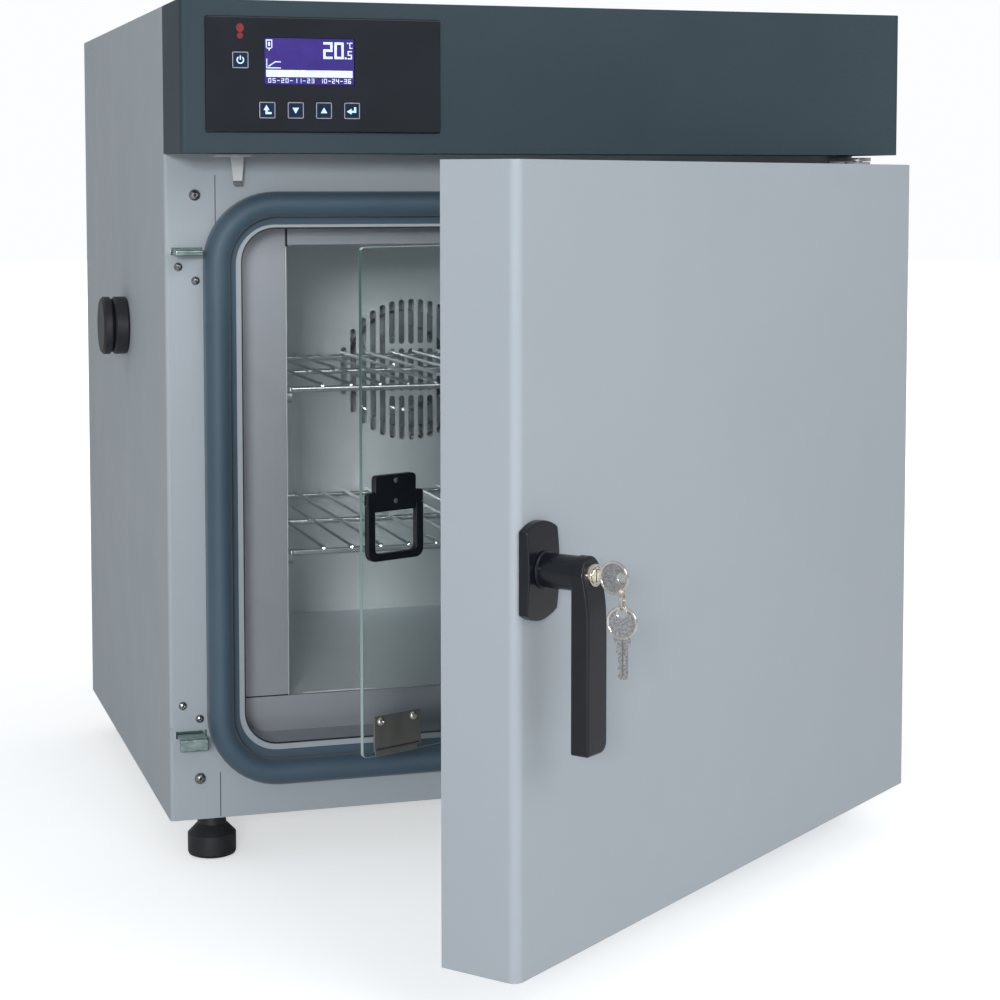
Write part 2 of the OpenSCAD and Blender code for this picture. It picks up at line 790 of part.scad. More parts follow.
// Stainless box with holes for the port, fan shaft, heater, probe and shelf supports
module chamber_liner() {
    h = open_z1 - liner_z;
    t = liner_t;
    color("lightgray") difference() {
        union() {
            difference() {
                translate([left_x - t, liner_y, liner_z - t]) {
                    cube([chamber_w + 2 * t, chamber_d + t, h + 2 * t]);
                }
                translate([left_x, liner_y - 1, liner_z]) cube([chamber_w, chamber_d + 1, h]);
            }
            plate_y(liner_y, t) difference() {
                translate([left_x - 10, liner_z - t - 8]) square([chamber_w + 20, h + 2 * t + 18]);
                translate([left_x - t / 2, liner_z - t / 2]) square([chamber_w + t, h + t]);
            }
        }
        translate([left_x, liner_y - 1, liner_z]) cube([chamber_w, chamber_d + 1, h]);
        rod_x([left_x - 2, front_y + port_y, port_z], port_r, 4);
        rod_y([chamber_x, liner_back - 1, fan_z], shaft_d / 2 + 2, 4);
        for (sx = [-1, 1]) {
            rod_y([chamber_x + sx * heater_leg, liner_back - 1, fan_z - heater_drop], 4 + gap, 4);
        }
        rod_y([probe_x, liner_back - 1, fan_z], probe_r + fit, 4);
        for (p = support_places) rod_x([p[0] - 2, p[1], p[2]], 2, 4);
    }
}

// Port tube welded to the liner's wall
module port_tube() {
    x0 = -side_x + sheet + gap;
    x1 = left_x - liner_t;
    color("lightgray") difference() {
        union() {
            rod_x([x0, front_y + port_y, port_z], port_r + tube_wall, x1 - x0);
            rod_x([x1 - liner_t, front_y + port_y, port_z], tube_flange_r, liner_t);
        }
        rod_x([x0 - 1, front_y + port_y, port_z], port_r, x1 - x0 + 2);
    }
}

// Removable floor plate with a row of long slots and folded edges
module floor_plate() {
    x0 = left_x + 1;
    w = chamber_w - 2;
    y0 = liner_y + 2;
    d = baffle_y - y0 - gap;
    pitch = chamber_w / 4 + 2.5;
    slot_l = pitch - 40;
    color("lightgray") difference() {
        translate([x0, y0, liner_z + gap]) cube([w, d, floor_plate_h - gap]);
        translate([x0 - 1, y0 + frame_t, liner_z - 1]) {
            cube([w + 2, d - 2 * frame_t, floor_plate_h - frame_t + 1]);
        }
        for (k = [-1.5:1:1.5]) {
            translate([chamber_x + k * pitch - slot_l / 2, y0 + 10, liner_z]) {
                cube([slot_l, 7, floor_plate_h + 2]);
            }
        }
    }
}

// Insulation block round the liner, seen by nobody
module insulation() {
    x0 = -side_x + sheet + gap;
    y0 = liner_y + liner_t + gap;
    y1 = back_y - 14;
    z0 = base_z + 14;
    t = liner_t + gap;
    color("khaki") difference() {
        translate([x0, y0, z0]) cube([-2 * x0, y1 - y0, deck_z - gap - z0]);
        translate([left_x - t, y0 - 1, liner_z - t]) {
            cube([chamber_w + 2 * t, liner_back + t - y0 + 1, open_z1 - liner_z + 2 * t]);
        }
        rod_x([x0 - 1, front_y + port_y, port_z], port_r + tube_wall + gap, left_x - x0 + 2);
        rod_x([left_x - 2 * liner_t - gap, front_y + port_y, port_z], tube_flange_r + gap, 2 * liner_t);
        rod_y([chamber_x, liner_back, fan_z], motor_r + 6, back_y - liner_back);
        for (sx = [-1, 1]) {
            translate([chamber_x + sx * heater_leg - 8, liner_back, fan_z - heater_drop - 8]) {
                cube([16, rear_space + 11, 16]);
            }
        }
        rod_y([probe_x, liner_back, fan_z], 8, rear_space + 11);
    }
}

// Half height of a grille column at a distance from the centre
function column_half(x) = sqrt(pow(grille_r, 2) - pow(abs(x) - slot_w / 4, 2)) - 0.4;

// Rear baffle with a round field of upright slots, the middle columns split in three
module fan_baffle() {
    x0 = left_x + 1;
    w = chamber_w - 2;
    h = open_z1 - 1 - liner_z - gap;
    depth = baffle_gap - gap;
    n = floor(grille_r / slot_pitch);
    bridge = 4.6;
    row = grille_r * 0.3;
    color("lightgray") difference() {
        translate([x0, baffle_y, liner_z + gap]) cube([w, depth, h]);
        translate([x0 + frame_t, baffle_y + frame_t, liner_z - 1]) {
            cube([w - 2 * frame_t, depth, h + 1 - frame_t]);
        }
        plate_y(baffle_y - 1, frame_t + 2) translate([chamber_x, fan_z]) {
            for (i = [-n:n]) {
                half = column_half(i * slot_pitch);
                translate([i * slot_pitch, 0]) {
                    if (abs(i) > 2) {
                        slot_shape(slot_w, -half, half);
                    } else {
                        slot_shape(slot_w, -half, -row - bridge);
                        slot_shape(slot_w, -row, row);
                        slot_shape(slot_w, row + bridge, half);
                    }
                }
            }
        }
    }
}

// Motor behind the chamber with its shaft through the back wall
module fan_motor() {
    y = liner_back + liner_t;
    color("dimgray") {
        rod_y([chamber_x, y, fan_z], motor_r + 4, 2);
        rod_y([chamber_x, y + 2, fan_z], motor_r, back_y - sheet - 6 - y - 2);
        rod_y([chamber_x, liner_back - 24, fan_z], shaft_d / 2, 26);
    }
}

// Impeller: hub, back disc, curved blades and a front ring
module fan_impeller() {
    y1 = liner_back - 8;
    blade_h = 18;
    disc_t = 1.5;
    blade_r = impeller_r * 0.42;
    color("silver") difference() {
        union() {
            rod_y([chamber_x, y1 - 16, fan_z], 9, 16);
            rod_y([chamber_x, y1 - disc_t, fan_z], impeller_r, disc_t);
            plate_y(y1 - disc_t - blade_h, blade_h + eps) translate([chamber_x, fan_z]) {
                intersection() {
                    difference() {
                        circle(impeller_r);
                        circle(impeller_r * 0.72);
                    }
                    for (k = [0:blade_count - 1]) rotate(k * 360 / blade_count) {
                        translate([impeller_r * 0.86, blade_r]) difference() {
                            circle(blade_r, $fn = 32);
                            circle(blade_r - 1, $fn = 32);
                            translate([-blade_r * 1.1, 0]) square(blade_r * 2.2);
                            translate([-blade_r * 1.1, -blade_r * 0.3]) square(blade_r * 2.2);
                        }
                    }
                }
            }
            plate_y(y1 - disc_t - blade_h - 1.2, 1.2 + eps) translate([chamber_x, fan_z]) difference() {
                circle(impeller_r);
                circle(impeller_r * 0.74);
            }
        }
        rod_y([chamber_x, y1 - 30, fan_z], shaft_d / 2 + fit, 40);
    }
}

// Ring heater round the impeller, its two legs through the back wall
module heater() {
    y = liner_back - 18;
    half = asin(heater_leg / heater_r);
    color("gray") {
        translate([chamber_x, y, fan_z]) rotate([90, 0, 0]) rotate([0, 0, -90 + half]) {
            rotate_extrude(angle = 360 - 2 * half) translate([heater_r, 0]) circle(4, $fn = 24);
        }
        for (sx = [-1, 1]) {
            translate([chamber_x + sx * heater_leg, y, fan_z - heater_drop]) sphere(4.3, $fn = 24);
            rod_y([chamber_x + sx * heater_leg, y, fan_z - heater_drop], 4, liner_back + 12 - y);
        }
    }
}

// Rod sensor in the air stream behind the baffle
module temperature_probe() {
    color("silver") {
        rod_y([probe_x, liner_back - 28, fan_z], probe_r, 40);
        rod_y([probe_x, liner_back + liner_t, fan_z], probe_r + 3, 6);
    }
}

// Round supports on the side walls that the shelves lie on
module shelf_supports() {
    color("silver") for (p = support_places) {
        side = p[0] < chamber_x ? 1 : -1;
        translate(p) rotate([0, side * 90, 0]) {
            cylinder(r = support_r, h = 11);
            translate([0, 0, -liner_t]) cylinder(r = 2 - fit, h = liner_t + 1);
        }
    }
}

// Wire shelf: bars across, side bars, wires on top and a raised edge at the rear
module wire_shelf(z) {
    x0 = left_x + 6;
    x1 = right_x - 6;
    zb = bar_z(z);
    zw = liner_z + z;
    n = floor((x1 - x0 - 12) / 2 / wire_pitch);
    y_mid = (shelf_front + shelf_rear) / 2;
    color("silver") {
        for (y = [shelf_front, y_mid, shelf_rear]) rod_x([x0, y, zb], bar_d / 2, x1 - x0);
        for (x = [x0, x1]) {
            rod_y([x, shelf_front, zb], bar_d / 2, shelf_rear - shelf_front);
            for (y = [shelf_front, shelf_rear]) translate([x, y, zb]) sphere(bar_d / 2);
        }
        for (i = [-n:n]) {
            x = (x0 + x1) / 2 + i * wire_pitch;
            rod_y([x, shelf_front, zw], wire_d / 2, shelf_rear + 8 - shelf_front);
            translate([x, shelf_rear + 8, zw]) sphere(wire_d / 2, $fn = 24);
            rod_z([x, shelf_rear + 8, zw], wire_d / 2, 11);
        }
        rod_x([x0 + 4, shelf_rear + 8, zw + 12], wire_d / 2, x1 - x0 - 8);
    }
}
module shelf_upper() {
    wire_shelf(shelf_z2);
}
module shelf_lower() {
    wire_shelf(shelf_z1);
}

// Keeper: plate behind the flange, tongue through the slit and a round turned-down nose
module keeper(z, side) {
    y0 = front_y + sheet + gap;
    y1 = front_y - keeper_out;
    x0 = keeper_x - keeper_w / 2;
    plate_x(x0, keeper_w) {
        translate([y1 + keeper_t, z]) square([y0 - y1 - keeper_t + eps, keeper_t]);
        intersection() {
            translate([y1 + keeper_t, z]) circle(keeper_t);
            translate([y1, z]) square(keeper_t + eps);
        }
        translate([y1, z - keeper_nose]) square([keeper_t, keeper_nose + eps]);
    }
    difference() {
        translate([x0, y0, side > 0 ? z : z - 28 + keeper_t]) cube([keeper_w, 2.5, 28]);
        screw_holes(keeper_screws, y0 - 1, 5, screw_d / 2 + fit);
    }
}
module latch_keepers() {
    color([0.55, 0.62, 0.6]) {
        keeper(keeper_z2, -1);
        keeper(keeper_z1, 1);
    }
}

// Hinge plates with their pins, one under the header and one under the casing
module hinge_upper() {
    z = door_top + 3;
    color("silver") {
        translate([hinge_x - 11, hinge_y, z]) cube([22, front_y - gap - hinge_y, 3]);
        rod_z([hinge_x, hinge_y, z], 11, 3);
        translate([hinge_x - 11, front_y - 3 - gap, z - 20]) cube([22, 3, 23]);
        rod_z([hinge_x, hinge_y, z - hinge_pin_l - 3], hinge_pin_d / 2, hinge_pin_l + 4);
    }
}
module hinge_lower() {
    z = door_bottom - 3 - 3;
    pad_x = side_x - foot_x + foot_r + 2;
    color("silver") {
        translate([hinge_x - 11, hinge_y, z]) cube([22, front_y - hinge_y, 3]);
        rod_z([hinge_x, hinge_y, z], 11, 3);
        translate([pad_x, front_y - 1, z]) cube([side_x - 1 - pad_x, 71, base_z - gap - z]);
        rod_z([hinge_x, hinge_y, z + 2], hinge_pin_d / 2, hinge_pin_l + 4);
    }
}

// Pivot brackets of the glass door on the chamber's frame
module glass_bracket(z_ear, z_plate, pin_z, pin_l) {
    r = glass_gap - gap;
    translate([pane_x1 - 14, frame_y - 1.5 - gap, z_plate]) cube([15, 1.5, 5]);
    translate([pane_x1 - r, pane_y, z_ear]) cube([2 * r, r, 1.5]);
    translate([pane_x1 - 14, frame_y - 3 - gap, z_ear]) cube([15, 3, 1.5]);
    rod_z([pane_x1, pane_y, z_ear], r, 1.5);
    rod_z([pane_x1, pane_y, pin_z], glass_pin_d / 2, pin_l);
}
module glass_brackets() {
    za = pane_z1 + clip_over + gap;
    zb = pane_z0 - clip_over - gap - 1.5;
    color("silver") {
        glass_bracket(za, za + eps, za - 9, 9 + eps);
        glass_bracket(zb, zb - 5 + 1.5, zb + 1.5 - eps, 9);
    }
}

// Magnet in the bottom rail that holds the catch plate
module magnet_catch() {
    color([0.12, 0.12, 0.12]) difference() {
        translate([magnet_x - 18, frame_y - 2.4, magnet_z - 4]) cube([36, 2.2, 8]);
        for (sx = [-1, 1]) rod_y([magnet_x + sx * 12, frame_y - 4, magnet_z], 1.6, 6);
    }
    color("silver") for (sx = [-1, 1]) translate([magnet_x + sx * 12, frame_y - 2.4, magnet_z]) {
        dome_screw(2.6, 1.5, 2.4 + frame_t - 0.2);
    }
}

// Rubber plug shaped like a spool, its shank in the port tube
module port_plug() {
    x0 = -side_x - gap;
    r_in = port_r - fit;
    color([0.1, 0.1, 0.1]) translate([x0, front_y + port_y, port_z]) rotate([0, -90, 0]) rotate_extrude() {
        polygon([[0, -55], [r_in - 3, -55], [r_in, -50], [r_in, 0], [plug_r - 1.5, 0], [plug_r, 1.5],
            [plug_r, 10.5], [plug_r - 1.5, 12], [plug_r * 0.72, 12], [plug_r * 0.72, plug_out - 8.5],
            [plug_r - 1.5, plug_out - 8.5], [plug_r, plug_out - 7], [plug_r, plug_out - 2],
            [plug_r - 2, plug_out], [0, plug_out]]);
    }
}

// Vent slide: shoe on the header's floor, neck through its slot and a hanging finger tab
module vent_lever() {
    color("gainsboro") {
        translate([vent_x - 14, vent_y - 6, header_z + header_wall + gap]) cube([28, 12, 2]);
        translate([vent_x - 4, vent_y - 3, header_z - 2]) cube([8, 6, header_wall + gap + 2 + eps]);
        translate([vent_x - 14.5, vent_y - 6, header_z - 2 - gap]) cube([29, 12, 2]);
        hull() {
            translate([vent_x - 5, vent_y - 1.5, header_z - 4]) cube([10, 3, 3]);
            rod_y([vent_x, vent_y - 1.5, header_z - 18], 4, 3);
        }
    }
}

// Foot: rubber disc, cone and neck on a threaded stud
module foot(p) {
    color([0.1, 0.1, 0.1]) translate([p[0], p[1], 0]) rotate_extrude() {
        h = foot_h - 0.2;
        polygon([[0, 0], [foot_r - 3, 0], [foot_r - 0.9, 0.9], [foot_r, 3], [foot_r, h * 0.48],
            [foot_r * 0.6, h * 0.7], [foot_r * 0.56, h], [stud_d / 2, h], [stud_d / 2, h + 11],
            [0, h + 11]]);
    }
}
module foot_front_left() {
    foot(foot_places[0]);
}
module foot_rear_left() {
    foot(foot_places[1]);
}
module foot_front_right() {
    foot(foot_places[2]);
}
module foot_rear_right() {
    foot(foot_places[3]);
}

// Outline of the closed door seen from above, with round front edges
module door_outline(inset) {
    r = door_r - inset;
    w = side_x - inset;
    y0 = door_out + inset;
    translate([-w, y0 + r]) square([2 * w, door_in - y0 - r]);
    translate([-w + r, y0]) square([2 * (w - r), r + eps]);
    for (sx = [-1, 1]) translate([sx * (w - r), y0 + r]) circle(r);
}

// Painted pan of the outer door with holes for the spindle and the hinge bushes
module door_skin() {
    h = door_top - door_bottom;
    color([0.68, 0.72, 0.74]) on_door() difference() {
        translate([0, 0, door_bottom]) linear_extrude(h) door_outline(0);
        translate([0, 0, door_bottom + door_sheet]) linear_extrude(h - 2 * door_sheet) {
            door_outline(door_sheet);
            translate([-side_x + door_sheet, door_in - 5]) square([cab_w - 2 * door_sheet, 6]);
        }
        rod_z([hinge_x, hinge_y, door_bottom - 1], bush_r + gap, h + 2);
        rod_y([lock_x, door_out - 1, handle_z], spindle_r + 1, 4);
        screw_holes(rosette_screws, door_out - 1, 4, rosette_screw_r + fit);
    }
}

// Inner panel with slots for the keepers and guides for the latch bar
module door_inner_panel() {
    w = cab_w - 2 * door_sheet;
    x0 = latch_x0;
    color([0.68, 0.72, 0.74]) on_door() difference() {
        union() {
            translate([-w / 2, door_in - panel_t, door_bottom + door_sheet]) {
                cube([w, panel_t, door_top - door_bottom - 2 * door_sheet]);
            }
            for (z = [handle_z - 110, handle_z + 90]) {
                translate([x0 - 4, latch_y - 3, z]) {
                    cube([latch_w + 8, door_in - panel_t - latch_y + 3 + eps, 14]);
                }
            }
            rod_y([lock_x, latch_y + latch_t + gap, handle_z], 9, door_in - latch_y - latch_t - gap - eps);
        }
        for (z = [handle_z - 111, handle_z + 89]) {
            translate([x0 - gap, latch_y - gap, z]) cube([latch_w + 2 * gap, latch_t + 2 * gap, 16]);
        }
        for (z = [keeper_z2, keeper_z1]) {
            translate([keeper_x - keeper_w / 2 - 3, door_in - 4, z - keeper_nose - 4]) {
                cube([keeper_w + 6, 5, keeper_t + keeper_nose + 8]);
            }
        }
        rod_y([lock_x, latch_y, handle_z], spindle_r - 1 + fit, door_in - latch_y - 1);
    }
}

// Foam in the door, clear of the latch beside it
module door_insulation() {
    x0 = latch_x0 + latch_w + 8;
    y0 = door_out + door_sheet + gap;
    x1 = side_x - hinge_inset - bush_r - 4;
    color("khaki") on_door() translate([x0, y0, door_bottom + door_sheet + gap]) {
        cube([x1 - x0, door_in - panel_t - gap - y0, door_top - door_bottom - 2 * door_sheet - 2 * gap]);
    }
}

// Plastic bushes in the door's top and bottom, their flanges between door and hinge plate
module hinge_bushes() {
    color("white") on_door() for (m = [0, 1]) {
        translate([hinge_x, hinge_y, m == 0 ? door_bottom : door_top]) mirror([0, 0, m]) difference() {
            union() {
                translate([0, 0, -bush_flange]) cylinder(r = bush_r + 4, h = bush_flange);
                cylinder(r = bush_r, h = hinge_pin_l + 6);
            }
            translate([0, 0, -bush_flange - 1]) {
                cylinder(r = hinge_pin_d / 2 + fit, h = hinge_pin_l + bush_flange + 3);
            }
        }
    }
}

// Rosette under the handle, with curved ends and two screws through the door's skin
module lock_rosette() {
    w = 33;
    h = 66;
    color([0.12, 0.12, 0.13]) on_door() difference() {
        union() {
            plate_y(door_out - rosette_t, rosette_t) translate([lock_x, handle_z]) intersection() {
                square([w, h], center = true);
                circle(h / 2, $fn = 96);
            }
            screw_holes(rosette_screws, door_out - eps, 6, rosette_screw_r);
        }
        rod_y([lock_x, door_out - rosette_t - 1, handle_z], spindle_r + fit, rosette_t + 2);
    }
}

// Involute of a base circle at a roll angle, turned by a start angle
function involute(rb, roll, start) = [
    rb * (cos(start + roll) + roll * PI / 180 * sin(start + roll)),
    rb * (sin(start + roll) - roll * PI / 180 * cos(start + roll))];

// Involute pinion outline with a tooth on the -X side
module pinion_shape() {
    rb = pinion_r * cos(press_angle);
    ra = pinion_r + gear_m;
    rf = pinion_r - 1.2 * gear_m;
    roll_p = tan(press_angle) * 180 / PI;
    roll_a = sqrt(pow(ra / rb, 2) - 1) * 180 / PI;
    half = 90 / pinion_teeth - backlash / 2 / pinion_r * 90 / PI + roll_p - press_angle;
    steps = 6;
    circle(rf);
    for (k = [0:pinion_teeth - 1]) rotate(180 + k * 360 / pinion_teeth) {
        flank = [for (i = [0:steps]) involute(rb, roll_a * i / steps, -half)];
        root = [rf * 0.9 * cos(half), rf * 0.9 * sin(half)];
        polygon(concat([[root[0], -root[1]]], flank,
            [for (i = [steps:-1:0]) [flank[i][0], -flank[i][1]]], [root]));
    }
}

// Spindle from the lever to the pinion, with a square end in the lever and a journal in the panel
module latch_pinion() {
    color("silver") on_door() {
        rod_y([lock_x, grip_back + 10, handle_z], spindle_r, latch_y - grip_back - 10 + eps);
        plate_y(latch_y, latch_t) translate([lock_x, handle_z]) pinion_shape();
        rod_y([lock_x, latch_y, handle_z], spindle_r - 1, latch_t + 3);
    }
}

// Rack teeth along Z, a space level with the pinion's axis
module rack_shape() {
    pitch = PI * gear_m;
    slope = tan(press_angle);
    half = pitch / 4 - backlash / 4;
    root = 1.25 * gear_m;
    n = rack_pitches;
    translate([rack_x - root - 6, -n * pitch]) square([6, 2 * n * pitch]);
    for (k = [-n:n - 1]) translate([rack_x, (k + 0.5) * pitch]) {
        polygon([[-root - eps, -half - root * slope], [gear_m, -half + gear_m * slope],
            [gear_m, half - gear_m * slope], [-root - eps, half + root * slope]]);
    }
}

// Latch bar: strip with two hooks and a window whose left edge is the rack
module latch_bar() {
    x0 = latch_x0;
    hook_x = keeper_x - keeper_w / 2 + 2;
    rack_back = rack_x - 1.25 * gear_m - 6;
    win = PI * gear_m * rack_pitches;
    color("silver") on_door() plate_y(latch_y, latch_t) {
        translate([x0, keeper_z1 - hook_h - gap]) square([latch_w, keeper_z2 - keeper_z1]);
        for (z = [keeper_z2, keeper_z1]) {
            translate([hook_x, z - hook_h - gap]) square([x0 + latch_w - hook_x, hook_h - 0.5]);
        }
        for (z = [handle_z - win - 8, handle_z + win]) {
            translate([rack_back, z]) square([x0 + latch_w - rack_back, 8]);
        }
        translate([0, handle_z]) rack_shape();
    }
}

// Lever: round neck, head with the lock, and a slim grip that hangs beside the door
module handle_lever() {
    r = grip_w / 2;
    z0 = handle_z + 12 - grip_l;
    edge = 2.5;
    color([0.12, 0.12, 0.13]) on_door() difference() {
        union() {
            rod_y([lock_x, door_out - rosette_t - gap - (grip_gap - rosette_t - gap), handle_z], r + 0.8,
                grip_gap - rosette_t - gap);
            hull() {
                for (y = [grip_front, grip_front + edge]) {
                    inset = y == grip_front ? edge : 0;
                    plate_y(y, y == grip_front ? 0.5 : grip_t - edge) translate([lock_x, 0]) {
                        translate([-r + inset, z0 + 6 + inset]) {
                            square([grip_w - 2 * inset, grip_l - 18 - 2 * inset]);
                        }
                        translate([0, handle_z - 1]) scale([1, 1.12]) circle(r - inset, $fn = 32);
                        translate([0, z0 + 7]) scale([1, 0.6]) circle(r - inset, $fn = 32);
                    }
                }
            }
        }
        rod_y([lock_x, grip_front - 1, handle_z], cylinder_r + fit, 9);
        rod_y([lock_x, grip_back + 10 - gap, handle_z], spindle_r + fit, grip_gap);
    }
}

// Plated ring and barrel of the lock in the lever's head
module lock_cylinder() {
    color("silver") on_door() difference() {
        union() {
            rod_y([lock_x, grip_front, handle_z], cylinder_r, 7.5);
            rod_y([lock_x, grip_front - 1.5, handle_z], cylinder_r + 1.5, 1.5);
        }
        rod_y([lock_x, grip_front - 2, handle_z], plug_lock_r + fit, 8);
    }
}
module lock_plug() {
    color("silver") on_door() difference() {
        rod_y([lock_x, grip_front - 2, handle_z], plug_lock_r, 7);
        translate([lock_x - key_t / 2 - 0.1, grip_front - 3, handle_z - 4.1]) cube([key_t + 0.2, 7, 8.2]);
    }
}

// Key plates stand edge-on to the door: round bow with a hole, and a blade
module key() {
    color([0.75, 0.72, 0.66]) on_door() plate_x(lock_x - key_t / 2, key_t) difference() {
        union() {
            intersection() {
                translate([bow_y, handle_z]) circle(bow_r);
                translate([bow_y - bow_r, handle_z - bow_r]) {
                    square([grip_front - 2.3 - bow_y + bow_r, bow_d]);
                }
            }
            translate([bow_y, handle_z - 4]) square([grip_front + 2.5 - bow_y, 8]);
        }
        translate([key_hole_y, handle_z]) circle(key_hole_r);
    }
}
module key_ring() {
    color("silver") on_door() translate([lock_x, key_hole_y, ring_z]) rotate([90, 0, 0]) rotate_extrude() {
        translate([ring_d / 2, 0]) circle(wire_r, $fn = 16);
    }
}
module spare_key() {
    z = spare_hole_z - bow_r + key_hole_r + 1.6;
    color([0.75, 0.72, 0.66]) on_door() plate_x(lock_x - key_t / 2, key_t) difference() {
        union() {
            translate([key_hole_y, z]) circle(bow_r);
            translate([key_hole_y - 3.75, z - bow_r - 24]) square([7.5, 26]);
            translate([key_hole_y - 5.5, z - bow_r - 3]) square([11, 5]);
        }
        translate([key_hole_y, spare_hole_z]) circle(key_hole_r);
        for (k = [0:3]) {
            translate([key_hole_y + 3, z - bow_r - 21 + k * 5]) circle(1.3 + 0.3 * (k % 2), $fn = 24);
        }
    }
}

// Glass pane with small round corners and holes for the screws
module glass_pane() {
    w = pane_x1 - clip_r - 0.5 - pane_x0;
    color([0.75, 0.88, 0.86, 0.35]) on_glass() difference() {
        plate_y(glass_face, glass_t) {
            translate([pane_x0 + w / 2, (pane_z0 + pane_z1) / 2]) round_rect(w, pane_z1 - pane_z0, 4);
        }
        for (s = [-1, 1]) {
            rod_y([pull_x, glass_face - 1, pull_z + 4 + s * 10], 2.2, glass_t + 2);
            rod_y([pull_x - 2 + s * 17, glass_face - 1, catch_z + 26], 2.2, glass_t + 2);
        }
    }
}

// Corner clips: a knuckle round each pivot pin and two cheeks on the pane
module glass_clips() {
    color("silver") on_glass() for (m = [0, 1]) {
        z = m == 0 ? pane_z0 : pane_z1;
        translate([pane_x1, pane_y, z]) mirror([0, 0, m]) difference() {
            union() {
                translate([0, 0, -clip_over]) cylinder(r = clip_r, h = clip_h + clip_over);
                translate([-clip_w, -clip_r, -clip_over]) cube([clip_w, 2 * clip_r, clip_h + clip_over]);
            }
            translate([-clip_w - 1, -glass_t / 2 - 0.1, -0.1]) {
                cube([clip_w + 1 - clip_r - 0.3, glass_t + 0.2, clip_h + 1]);
            }
            translate([0, 0, -clip_over - 1]) cylinder(r = glass_pin_d / 2 + fit, h = 11);
        }
    }
}

// Cast plate of the pull with the bore of its ring and two screws
module pull_plate() {
    w = 41;
    h = 38;
    t = 9;
    color([0.1, 0.1, 0.1]) on_glass() difference() {
        plate_y(glass_face - t, t) translate([pull_x, pull_z + 6]) {
            round_rect(w, h, 4);
            translate([-w / 2, -h / 2]) square([w, h / 2]);
        }
        rod_x([pull_x - w / 2 - 1, pull_axis_y, pull_z], 2.5 + fit, w + 2);
        for (s = [-1, 1]) rod_y([pull_x, glass_face - 3, pull_z + 4 + s * 10], 1.6, 5);
    }
    color("silver") on_glass() for (s = [-1, 1]) {
        translate([pull_x, glass_face + glass_t, pull_z + 4 + s * 10]) {
            mirror([0, 1, 0]) dome_screw(3.4, 1.55, 6.5);
        }
    }
}

// Drop ring of the pull: round pin, two arms and a curved bottom
module pull_ring() {
    w = 57;
    inner = 42;
    h = 41;
    t = 6;
    bar = (w - inner) / 2;
    color([0.1, 0.1, 0.1]) on_glass() {
        difference() {
            plate_y(pull_axis_y - t / 2, t) translate([pull_x, pull_z - h / 2]) {
                round_rect(w, h, 15);
                translate([-w / 2, 0]) square([w, h / 2]);
            }
            plate_y(pull_axis_y - t, 2 * t) translate([pull_x, pull_z - h / 2 + bar + 2]) {
                round_rect(inner, h, 8);
                translate([-inner / 2, 0]) square([inner, h]);
            }
        }
        rod_x([pull_x - w / 2 + 0.5, pull_axis_y, pull_z], 2.5, w - 1);
        for (x = [pull_x - w / 2, pull_x + w / 2 - bar]) rod_x([x, pull_axis_y, pull_z], t / 2 + 0.8, bar);
    }
}

// Steel plate at the pane's lower corner that the magnet holds
module catch_plate() {
    w = 47.5;
    h = 39;
    t = 1.5;
    color([0.24, 0.25, 0.24]) on_glass() {
        difference() {
            plate_y(glass_face - t, t) translate([pull_x - 2, catch_z + h / 2]) round_rect(w, h, 2);
            for (s = [-1, 1]) rod_y([pull_x - 2 + s * 17, glass_face - 3, catch_z + 26], 1.6, 5);
        }
        translate([pull_x - 2 - w / 2 + 3, glass_face - eps, catch_z]) cube([w - 6, glass_t + 1, t]);
        for (s = [-1, 1]) {
            translate([pull_x - 2 + s * 17, glass_face - t, catch_z + 26]) dome_screw(3.6, 1.55, 5);
        }
    }
}

casing_left();
casing_right();
top_cover();
base_panel();
rear_cover();
front_frame();
header_shell();
fascia_panel();
display_lcd();
control_board();
power_supply();
mains_inlet();
casing_screws();
door_gasket();
chamber_liner();
port_tube();
chamber_frame();
floor_plate();
insulation();
fan_baffle();
fan_motor();
heater();
temperature_probe();
shelf_supports();
latch_keepers();
hinge_upper();
hinge_lower();
glass_brackets();
magnet_catch();
fan_impeller();
shelf_upper();
shelf_lower();
port_plug();
vent_lever();
key_power();
key_back();
key_down();
key_up();
key_enter();
foot_front_left();
foot_front_right();
foot_rear_left();
foot_rear_right();
door_skin();
door_inner_panel();
door_insulation();
hinge_bushes();
lock_rosette();
latch_bar();
latch_pinion();
handle_lever();
lock_cylinder();
lock_plug();
key();
key_ring();
spare_key();
glass_pane();
glass_clips();
pull_plate();
pull_ring();
catch_plate();
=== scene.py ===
import math

import bmesh
import bpy
from mathutils import Matrix, Vector


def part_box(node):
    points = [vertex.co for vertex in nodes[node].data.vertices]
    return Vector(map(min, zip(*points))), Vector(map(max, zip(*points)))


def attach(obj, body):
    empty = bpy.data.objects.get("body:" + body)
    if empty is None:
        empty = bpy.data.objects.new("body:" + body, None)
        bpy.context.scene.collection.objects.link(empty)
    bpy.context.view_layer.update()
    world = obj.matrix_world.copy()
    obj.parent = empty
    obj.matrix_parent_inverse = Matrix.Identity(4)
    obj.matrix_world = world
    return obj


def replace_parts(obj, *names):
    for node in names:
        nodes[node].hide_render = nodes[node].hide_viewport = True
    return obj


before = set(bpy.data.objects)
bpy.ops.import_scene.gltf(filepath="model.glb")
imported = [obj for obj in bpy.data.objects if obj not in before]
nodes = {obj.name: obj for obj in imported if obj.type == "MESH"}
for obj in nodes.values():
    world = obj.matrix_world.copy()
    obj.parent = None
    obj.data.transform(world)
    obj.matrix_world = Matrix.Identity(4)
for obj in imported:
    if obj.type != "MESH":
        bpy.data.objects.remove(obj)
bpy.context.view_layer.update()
scene = bpy.context.scene
mm = 0.001


